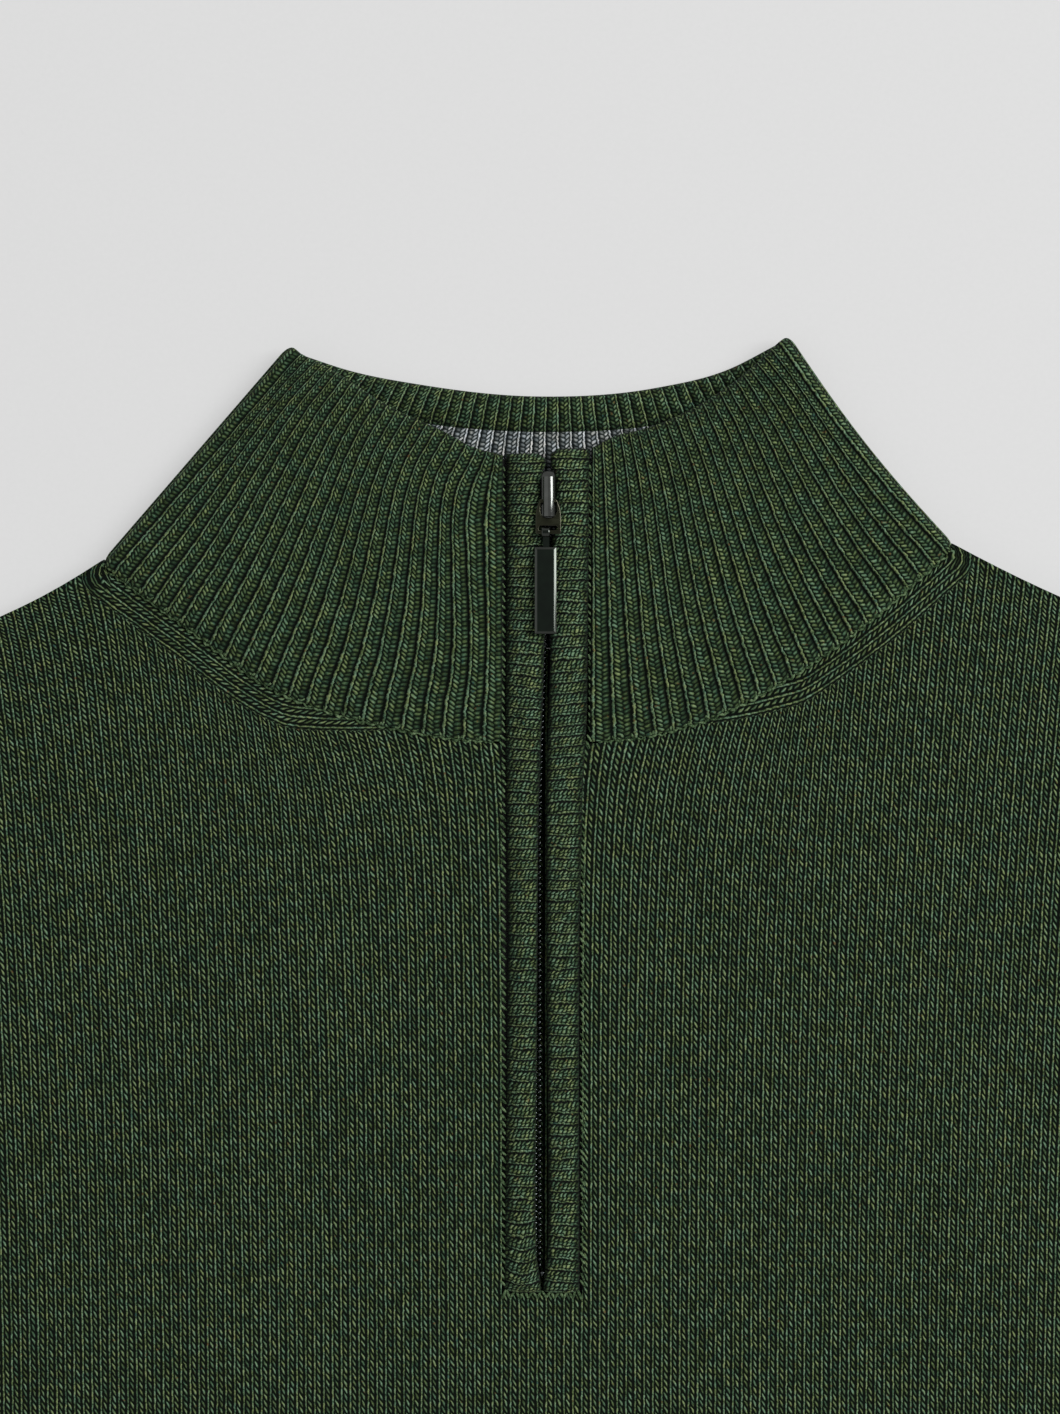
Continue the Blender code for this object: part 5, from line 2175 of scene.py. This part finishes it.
@dataclass
class Zip:
    """The zip: two woven tapes and the closed coil between them.

    Attributes:
        end: foot of the tapes.
        top: their upper end.
        mouth: where the coil ends at the slider.
        mouth_x: middle of the tapes above it.
        outer: outer edge of the left and of the right tape.
        pitch: from one turn of the coil to the next.
        coil_end: foot of the coil.
        coil_shift: how far the coil lies beside the gap's middle.
        coil_rise: height of its middle over what lies under the zip.
        wire: radius of its wire.
        turn: half the width and half the height of each turn.
        lean: how far the turns lean along the zip.
        spacing: from the coil's middle to the middle of each half.
        drop: how much lower the coil lies over the collar.
        stop: size of the end stop, beside that of a turn.
        insets: how far the tapes' inner edges lie from the middle.
    """

    end: float = -132.2
    top: float = 68.0
    mouth: float = 52.9
    mouth_x: float = 0.9
    outer: tuple[float, float] = (-10.3, 8.9)
    pitch: float = 1.39
    coil_end: float = -126.6
    coil_shift: float = -1.15
    coil_rise: float = 1.55
    wire: float = 0.22
    turn: tuple[float, float] = (0.55, 0.42)
    lean: float = 0.18
    spacing: float = 0.55
    drop: float = 0.5
    stop: tuple[float, float, float] = (1.6, 1.7, 1.3)
    insets: Rows = (  # y, inset
        (-132.2, 2.5),
        (52.9, 2.5),
        (53.0, 1.9),
        (65.2, 1.9),
        (66.5, 0.6),
        (68.0, 0.6),
    )

    def tape(self, side: float) -> bpy.types.Object:
        """One tape.

        Args:
            side: -1 for the left one, 1 for the right one.

        Returns:
            The piece.
        """
        ys = np.linspace(self.end, self.top, 140)
        inset = np.interp(ys, *np.array(self.insets).T)
        middle = np.where(ys > 53.0, self.mouth_x, split_line(ys))
        inner_x = middle + side * inset
        outer_x = self.outer[0] if side < 0 else self.outer[1]
        shares = np.linspace(0.0, 1.0, 6)[:, None]
        x = inner_x + (outer_x - inner_x) * shares
        plan = np.stack([x, np.broadcast_to(ys, x.shape)], axis=-1)
        over = lift_points(plan, zip_rest(ys) + TAPE_TOP)
        under = lift_points(plan, zip_rest(ys) + TAPE_LOW)
        return Cloth(by_side("Zip_tape", side), over, under, plan).shaded()

    def _turn(self, side: float) -> bpy.types.Object:
        """One turn of the coil, as a flattened ring of wire.

        Args:
            side: -1 for the left half, 1 for the right one.

        Returns:
            The turn.
        """
        bpy.ops.object.select_all(action="DESELECT")
        bpy.ops.mesh.primitive_torus_add(
            major_segments=16,
            minor_segments=6,
            major_radius=1.0,
            minor_radius=self.wire,
            rotation=(math.pi / 2, 0, 0),
        )
        turn = bpy.context.active_object
        bpy.ops.object.transform_apply(location=False, rotation=True, scale=True)
        wide, high = self.turn
        for vertex in turn.data.vertices:
            around = math.atan2(vertex.co.z, vertex.co.x)
            ring = Vector((math.cos(around), 0.0, math.sin(around)))
            wire = vertex.co - ring
            vertex.co = Vector((ring.x * wide, self.lean * ring.z * side, ring.z * high)) + wire
        return turn

    def coil(self) -> bpy.types.Object:
        """The closed chain: turns of both halves, one between the other's.

        Returns:
            The piece.
        """
        count = int((self.mouth - self.coil_end) / self.pitch)
        copies = Copies()
        for side, offset in ((-1.0, 0.0), (1.0, 0.5)):
            local, faces = taken(self._turn(side))
            for index in range(count):
                y = self.coil_end + self.pitch * (index + offset)
                x = split_line(y) + side * self.spacing + self.coil_shift
                z = zip_rest(y) + self.coil_rise - self.drop * smooth((y - 4.0) / 14.0)
                copies.add(local + np.array([x, y, z]), faces)
        end = self.coil_end
        stop = np.array([split_line(end), end - 1.3, zip_rest(end) + 1.9])
        copies.add(local * np.array(self.stop) + stop, faces)
        return copies.make("Zip_coil")


# Sewing


@dataclass(frozen=True)
class SeamRow:
    """A row of small stitches.

    Attributes:
        pitch: from one stitch to the next.
        length: of each stitch.
        width: of each stitch.
        turn: degrees between a stitch and its row.
        zigzag: whether every second one turns the other way.
        offset: how far it lies to the left of its line.
        lift: how far its middle stands over the cloth.
    """

    pitch: float
    length: float
    width: float
    turn: float = 0.0
    zigzag: bool = False
    offset: float = 0.0
    lift: float = 0.0


@dataclass
class Sewing:
    """Rows of stitches along the seams that show.

    Attributes:
        seed: of the stitches' unevenness.
        stray: how far each strays along its row, as a share of the pitch.
        sway: how many degrees it turns either way.
        sizes: smallest and largest size, beside the row's own.
        neck_rows: the linking round the neck.
        chain: the chain beside a strip; its turn differs from side to side.
        picked: the row picked up under the strips.
    """

    seed: int = 5
    stray: float = 0.1
    sway: float = 9.0
    sizes: tuple[float, float] = (0.85, 1.15)
    neck_rows: tuple[SeamRow, ...] = (
        SeamRow(1.30, 2.1, 0.75, 28.0, True, -0.25, 0.10),
        SeamRow(1.10, 1.7, 0.70, 62.0, True, 0.75, 0.55),
    )
    chain: SeamRow = SeamRow(1.75, 2.2, 0.64, lift=-0.12)
    picked: SeamRow = SeamRow(1.06, 2.5, 0.74, 66.0, True, 0.0, 0.25)

    def _stitch(self) -> tuple[np.ndarray, list[list[int]]]:
        """Points and faces of one stitch: a round grain of unit size.

        Returns:
            The points and the faces.
        """
        bpy.ops.object.select_all(action="DESELECT")
        turn = (0.0, math.pi / 2, 0.0)
        bpy.ops.mesh.primitive_uv_sphere_add(segments=8, ring_count=6, radius=0.5, rotation=turn)
        bpy.ops.object.transform_apply(location=False, rotation=True, scale=True)
        return taken(bpy.context.active_object)

    def rows(
        self, name: str, line: np.ndarray, heights: np.ndarray, rows: Sequence[SeamRow]
    ) -> bpy.types.Object:
        """Rows of stitches along one line.

        Args:
            name: the piece's name.
            line: points of the line.
            heights: height of the cloth at each point.
            rows: the rows.

        Returns:
            The piece.
        """
        local, faces = self._stitch()
        chance = np.random.default_rng(self.seed)
        run = run_lengths(line, 0)
        columns = (*line.T, heights, *np.gradient(line, run, axis=0).T)
        copies = Copies()
        for row in rows:
            for index, at in enumerate(np.arange(row.pitch / 2, run[-1], row.pitch)):
                at = at + chance.uniform(-self.stray, self.stray) * row.pitch
                x, y, z, dx, dy = (np.interp(at, run, column) for column in columns)
                turn = row.turn * (-1.0 if row.zigzag and index % 2 else 1.0)
                angle = math.atan2(dy, dx) + math.radians(turn + chance.uniform(-self.sway, self.sway))
                size = np.array([row.length, row.width, row.width]) * chance.uniform(*self.sizes)
                grain = local * size
                c, s = math.cos(angle), math.sin(angle)
                across = grain[:, 0] * c - grain[:, 1] * s + (x - dy * row.offset)
                along = grain[:, 0] * s + grain[:, 1] * c + (y + dx * row.offset)
                copies.add(np.stack([across, along, grain[:, 2] + z + row.lift], axis=1), faces)
        return copies.make(name)

    def neck(self) -> bpy.types.Object:
        """The linking that joins the collar to the front.

        Returns:
            The piece.
        """
        line = neckline(60)
        clear = (line[:, 0] < -11.0) | (line[:, 0] > 11.4)
        parts = []
        for name, keep in (("left", line[:, 0] < 0.0), ("right", line[:, 0] > 0.0)):
            part = line[clear & keep]
            heights = np.full(len(part), FRONT_REST + NECK_LIFT + WALL)
            parts.append(self.rows("Linking_" + name, part, heights, self.neck_rows))
        return join("Neck_linking", parts)

    def placket(self) -> bpy.types.Object:
        """The chains beside the strips, and the row picked up under them.

        Returns:
            The piece.
        """
        parts = []
        ys = np.linspace(-131.0, 66.0, 120)
        for name, low, high, turn in (("left", -10.1, -10.2, 40.0), ("right", 9.05, 10.9, 34.0)):
            line = np.stack([low + (high - low) * smooth((ys + 8.0) / 12.0), ys], axis=1)
            heights = zip_rest(ys) + TAPE_LOW + WALL + 0.4 * smooth((ys + 4.0) / 8.0)
            parts.append(self.rows("Chain_" + name, line, heights, (replace(self.chain, turn=turn),)))
        line = np.stack([np.linspace(SLOT_LEFT, 9.2, 30), np.full(30, SLOT_END)], axis=1)
        heights = np.full(30, FRONT_REST + TAPE_LOW + WALL)
        parts.append(self.rows("Picked_up", line, heights, (self.picked,)))
        return join("Placket_seams", parts)


# Fastening


def plate(
    name: str, outlines: Sequence[Rows], bottom: float, height: float, rounding: float
) -> bpy.types.Object:
    """A flat plate from curves, with holes and rounded edges.

    Args:
        name: the object's name.
        outlines: the outer outline, then those of its holes, each as x and y.
        bottom: height of its underside.
        height: its thickness.
        rounding: radius of its edges.

    Returns:
        The object.
    """
    curve = bpy.data.curves.new(name, "CURVE")
    curve.dimensions = "2D"
    curve.fill_mode = "BOTH"
    for outline in outlines:
        spline = curve.splines.new("POLY")
        spline.use_cyclic_u = True
        spline.points.add(len(outline) - 1)
        for point, (x, y) in zip(spline.points, outline):
            point.co = (x / 1000.0, (y + MIDDLE_Y) / 1000.0, 0.0, 1.0)
    curve.extrude = (height / 2 - rounding) / 1000.0
    curve.bevel_depth = rounding / 1000.0
    curve.bevel_resolution = 2
    curve.offset = -rounding / 1000.0
    made = placed(name, curve)
    made.location.z = (bottom + height / 2) / 1000.0
    pick(made)
    bpy.ops.object.convert(target="MESH")
    made = named(name)
    apply_modifier(made, "Joined", "WELD", merge_threshold=0.000002)
    return made


@dataclass
class Fastening:
    """The slider, its stirrup and the pull tab.

    Attributes:
        bridge_x: middle of the slider, across.
        axle_z: height of both axles.
        slider_span: y where the slider's plates begin and end.
        slider_half: half their width.
        wedge_half: half the width of the wedge between them.
        bridge_span: y where the bridge begins and ends.
        bridge_half: half its width.
        bridge_rise: from the axles to its back.
        bridge_crown: how much of that is round.
        slot_half: half the height of its slot.
        bail_x: middle of the stirrup, across.
        bail_axle_y: y of the axle in the bridge.
        bail_half: half the thickness of the stirrup and its bars.
        arm: share down an arm, its reach from the middle, its distance from the upper end.
        hole_half: half the width of the hole round the bridge.
        lower_hole: corners of the hole over the tab's bar: their reach and their y.
        tab_axle_y: y of the axle in the tab's ring.
        tab_x: middle of the tab, across.
        tab_span: y where its bar begins and ends.
        tab_half: half its width.
        tab_thickness: of its bar.
        tab_slope: how wide and how deep its sides slope.
    """

    bridge_x: float = 0.9
    axle_z: float = 10.6
    slider_span: tuple[float, float] = (53.2, 65.0)
    slider_half: float = 4.2
    wedge_half: float = 1.3
    bridge_span: tuple[float, float] = (53.9, 63.4)
    bridge_half: float = 1.35
    bridge_rise: float = 1.7
    bridge_crown: float = 0.85
    slot_half: float = 0.75
    bail_x: float = 0.77
    bail_axle_y: float = 57.6
    bail_half: float = 0.45
    arm: Rows = (
        (0.0, 1.9, 0.0),
        (0.15, 2.35, 0.9),
        (0.4, 2.85, 2.6),
        (0.7, 3.05, 5.0),
        (1.0, 3.0, 8.3),
    )
    hole_half: float = 1.95
    lower_hole: Rows = ((2.3, 51.3), (1.9, 51.7), (-1.9, 51.7), (-2.3, 51.3))
    tab_axle_y: float = 50.2
    tab_x: float = 0.12
    tab_span: tuple[float, float] = (25.9, 46.6)
    tab_half: float = 2.6
    tab_thickness: float = 1.6
    tab_slope: tuple[float, float] = (0.62, 0.26)

    def slider(self) -> bpy.types.Object:
        """Two plates, a wedge between them, and a round-backed bridge with its slot.

        Returns:
            The piece.
        """
        rest = FRONT_REST + ZIP_RISE
        x = self.bridge_x
        z = self.axle_z
        low, high = self.slider_span
        half = self.slider_half
        body = block("Slider", (x - half, low, rest), (x + half, high, rest + 0.6))
        bevel(body, 0.25)
        upper = block("upper", (x - half, low, rest + 2.1), (x + half, high, rest + 3.1))
        bevel(upper, 0.45)
        half = self.wedge_half
        wedge = block("wedge", (x - half, low + 1.5, rest + 0.3), (x + half, high - 0.6, rest + 2.6))
        half = self.bridge_half
        first, last = self.bridge_span
        top = z + self.bridge_rise - self.bridge_crown
        bridge = block("bridge", (x - half, first, rest + 2.6), (x + half, last, top))
        middle = (x, (first + last) / 2, top)
        lengthwise = (math.pi / 2, 0.0, 0.0)
        back = bar("back", middle, half, last - first, lengthwise, self.bridge_crown / half, 64)
        combine(bridge, back, "UNION")
        bevel(bridge, 0.22)
        half = self.slot_half
        slot = block("slot", (x - 5.0, first + 1.5, z - half), (x + 5.0, last - 1.5, z + half))
        combine(bridge, slot, "DIFFERENCE")
        for shape in (upper, wedge, bridge):
            combine(body, shape, "UNION")
        smooth_shade(body, 30.0)
        return body

    def bail(self) -> bpy.types.Object:
        """The stirrup: an axle bar, two curved arms, a plate, and a bar for the tab.

        Returns:
            The piece.
        """
        x = self.bail_x
        thick = 2 * self.bail_half
        top = self.bail_axle_y + self.bail_half
        low = self.tab_axle_y - self.bail_half
        curve = through(self.arm, np.linspace(0.0, 1.0, 14))
        outer = [(x - a, top - b) for a, b in curve] + [(x + a, top - b) for a, b in curve[::-1]]
        hole_x = (self.bridge_x + x) / 2
        half = self.hole_half
        cut = [(hole_x - half, top - thick), (hole_x - half, 55.2)]
        turns = np.linspace(math.pi, 2 * math.pi, 12)
        cut += [(hole_x + half * math.cos(a), 55.1 + 1.6 * math.sin(a)) for a in turns]
        cut += [(hole_x + half, 55.2), (hole_x + half, top - thick)]
        corners = ((-2.3, low + thick), (2.3, low + thick), *self.lower_hole)
        lower = [(x + a, y) for a, y in corners]
        piece = plate("Bail", (outer, cut, lower), self.axle_z - self.bail_half, thick, 0.16)
        smooth_shade(piece, 40.0)
        return piece

    def tab(self) -> bpy.types.Object:
        """The pull tab: a bevelled bar, a neck, and a ring round the stirrup's lower bar.

        Returns:
            The piece.
        """
        x = self.tab_x
        z = self.axle_z
        start, end = self.tab_span
        half = self.tab_half
        width, depth = self.tab_slope
        low = z - self.tab_thickness / 2
        tab = block("Pull_tab", (x - half, start, low), (x + half, end, low + self.tab_thickness - depth))
        for part in (*tab.data.vertices, *tab.data.edges):
            part.select = False
        for face in tab.data.polygons:
            face.select = face.normal.z > 0.5
        bpy.context.tool_settings.mesh_select_mode = (False, False, True)
        bpy.ops.object.mode_set(mode="EDIT")
        bpy.ops.mesh.inset(thickness=width / 1000.0, depth=depth / 1000.0)
        bpy.ops.object.mode_set(mode="OBJECT")
        bevel(tab, 0.08, 2, 15.0)
        neck = block("neck", (x - 0.6, end - 1.0, z - 0.4), (x + 0.9, self.tab_axle_y - 0.82, z + 0.4))
        axle = (x, self.tab_axle_y, z)
        crosswise = (0.0, math.pi / 2, 0.0)
        ring = bar("ring", axle, 1.3, 1.9, crosswise)
        bore = bar("bore", axle, 0.72, 8.0, crosswise)
        bevel(ring, 0.2, 2)
        combine(tab, neck, "UNION")
        combine(tab, ring, "UNION")
        combine(tab, bore, "DIFFERENCE")
        smooth_shade(tab, 18.0)
        return tab


# Surroundings


@dataclass
class Studio:
    """Pale floor, soft light and the camera straight above.

    Attributes:
        aim: middle of the view, in metres.
        height: of the camera.
        lens: its focal length, for a sensor 36 mm high.
        lamps: names, places, sizes and powers of the lights.
        sky: strength of the even light from all round.
    """

    aim: tuple[float, float] = (-0.0036, 0.2834)
    height: float = 0.949
    lens: float = 100.0
    lamps: tuple[tuple, ...] = (
        ("Key", (1.35, 0.80, 1.45), 1.15, 36.5),
        ("Fill", (-1.3, 0.1, 1.4), 2.4, 4.0),
    )
    sky: float = 0.38

    def floor(self) -> None:
        """A wide sheet of paper just below the garment."""
        bpy.ops.object.select_all(action="DESELECT")
        bpy.ops.mesh.primitive_plane_add(size=6.0, location=(0.0, 0.0, -0.0002))
        paper = named("Floor")
        paper.data.materials.append(FloorFinish().material())

    def _light(self, name: str, place: Sequence[float], size: float, power: float) -> None:
        """A soft square light that faces the garment.

        Args:
            name: its name.
            place: where it stands.
            size: its sides' length.
            power: its power in watts.
        """
        data = bpy.data.lights.new(name, "AREA")
        data.shape = "SQUARE"
        data.size = size
        data.energy = power
        lamp = placed(name, data)
        lamp.location = place
        aim = Vector((*self.aim, 0.0)) - Vector(place)
        lamp.rotation_euler = aim.to_track_quat("-Z", "Y").to_euler()

    def lights(self) -> None:
        """A key light up and to the right, a weak one across, and an even sky."""
        for lamp in self.lamps:
            self._light(*lamp)
        world = bpy.data.worlds.new("Sky")
        world.use_nodes = True
        background = world.node_tree.nodes["Background"]
        background.inputs["Color"].default_value = (1.0, 1.0, 1.0, 1.0)
        background.inputs["Strength"].default_value = self.sky
        bpy.context.scene.world = world
        bpy.context.scene.view_settings.view_transform = "Standard"

    def camera(self) -> None:
        """Straight down on the collar and the zip."""
        data = bpy.data.cameras.new("Camera")
        data.lens = self.lens
        data.sensor_fit = "VERTICAL"
        data.sensor_height = 36.0
        eye = placed("Camera", data)
        eye.location = (*self.aim, self.height)
        bpy.context.scene.camera = eye


# Assembly


@dataclass
class Looks:
    """The materials of the wool pieces.

    Attributes:
        rib: green, in ribs.
        sideways: the same for the placket's strips.
        grey: the collar's inner layer.
        strand: single strands for sewing.
        banded: green jersey with the fashioned band.
        jersey: green jersey without it.
    """

    rib: bpy.types.Material
    sideways: bpy.types.Material
    grey: bpy.types.Material
    strand: bpy.types.Material
    banded: bpy.types.Material
    jersey: bpy.types.Material


def wool_looks() -> Looks:
    """Makes the materials of the wool pieces.

    Returns:
        The materials.
    """
    rib = KnitFinish("green rib", GREEN_MARL, Stitch.RIB, 0.0004, wobble=0.17, lift=0.19, contrast=0.86)
    sideways = KnitFinish(
        "green rib sideways",
        GREEN_MARL,
        Stitch.SIDEWAYS,
        relief=0.0004,
        wander=0.18,
        wobble=0.34,
        lift=0.24,
        painted_edge_shade=True,
    )
    grey = KnitFinish("grey rib", GREY_MARL, Stitch.RIB, 0.0003, wobble=0.15, lift=0.25)
    strand = StrandFinish("green strand", GREEN_MARL, lift=0.11)
    plain = KnitFinish(
        "green jersey plain", GREEN_MARL, Stitch.JERSEY, 0.00044, wobble=0.16, lift=0.18, contrast=0.82
    )
    banded = replace(plain, name="green jersey", bordered=True)
    return Looks(*(finish.material() for finish in (rib, sideways, grey, strand, banded, plain)))


def main() -> None:
    """Builds the sweater's pieces in order, then its surroundings."""
    studio = Studio()
    studio.camera()
    looks = wool_looks()

    panels = BodyPanels()
    back = deliver(panels.back(), looks.jersey, "sweater", ["back"])
    front = deliver(panels.front(), looks.banded, "sweater", ["front"])
    hem = Hem()
    hem_back = deliver(hem.back(), looks.rib, "sweater", ["hem_back"])
    hem_front = deliver(hem.front(), looks.rib, "sweater", ["hem_front"])
    for side, name in ((-1.0, "left"), (1.0, "right")):
        arm = Sleeve(side)
        sleeve = deliver(arm.sleeve(), looks.jersey, "sweater", ["sleeve_" + name])
        cuff = deliver(arm.cuff(), looks.rib, "sweater", ["cuff_" + name])

    collar = Collar()
    outer = deliver(collar.outer(), looks.rib, "sweater", ["collar"])
    inner = deliver(collar.inner(), looks.grey, "sweater", ["inner_collar"])

    closing = Zip()
    placket = Placket()
    for side, name in ((-1.0, "left"), (1.0, "right")):
        woven = TapeFinish().material()
        tape = deliver(closing.tape(side), woven, "sweater", ["zip_tape_" + name])
        strip = deliver(placket.strip(side), looks.sideways, "sweater", ["placket_" + name])
    deliver(closing.coil(), CoilFinish().material(), "sweater", ["zip_chain"])
    sewing = Sewing()
    deliver(sewing.neck(), looks.strand, "sweater")
    deliver(sewing.placket(), looks.strand, "sweater")

    fastening = Fastening()
    # The lighter colours given for the sloped edges paint highlights on them.
    bright = MetalFinish("bright plating", (0.080, 0.086, 0.078), 0.17, lacquer=1.0)
    brown = MetalFinish("brown gunmetal plating", (0.031, 0.033, 0.021), 0.28, edge_highlight=(0.075, 0.075, 0.055))
    edge_highlight = (0.062, 0.070, 0.060)
    dark = MetalFinish("gunmetal plating", (0.006, 0.0130, 0.0075), 0.24, lacquer=0.45, edge_highlight=edge_highlight)
    slider_look, bail_look, tab_look = (finish.material() for finish in (bright, brown, dark))
    deliver(fastening.slider(), slider_look, "sweater", ["slider"])
    deliver(fastening.bail(), bail_look, "bail", ["bail"])
    deliver(fastening.tab(), tab_look, "pull_tab", ["pull_tab"])
    studio.floor()
    studio.lights()


if __name__ == "__main__":
    main()
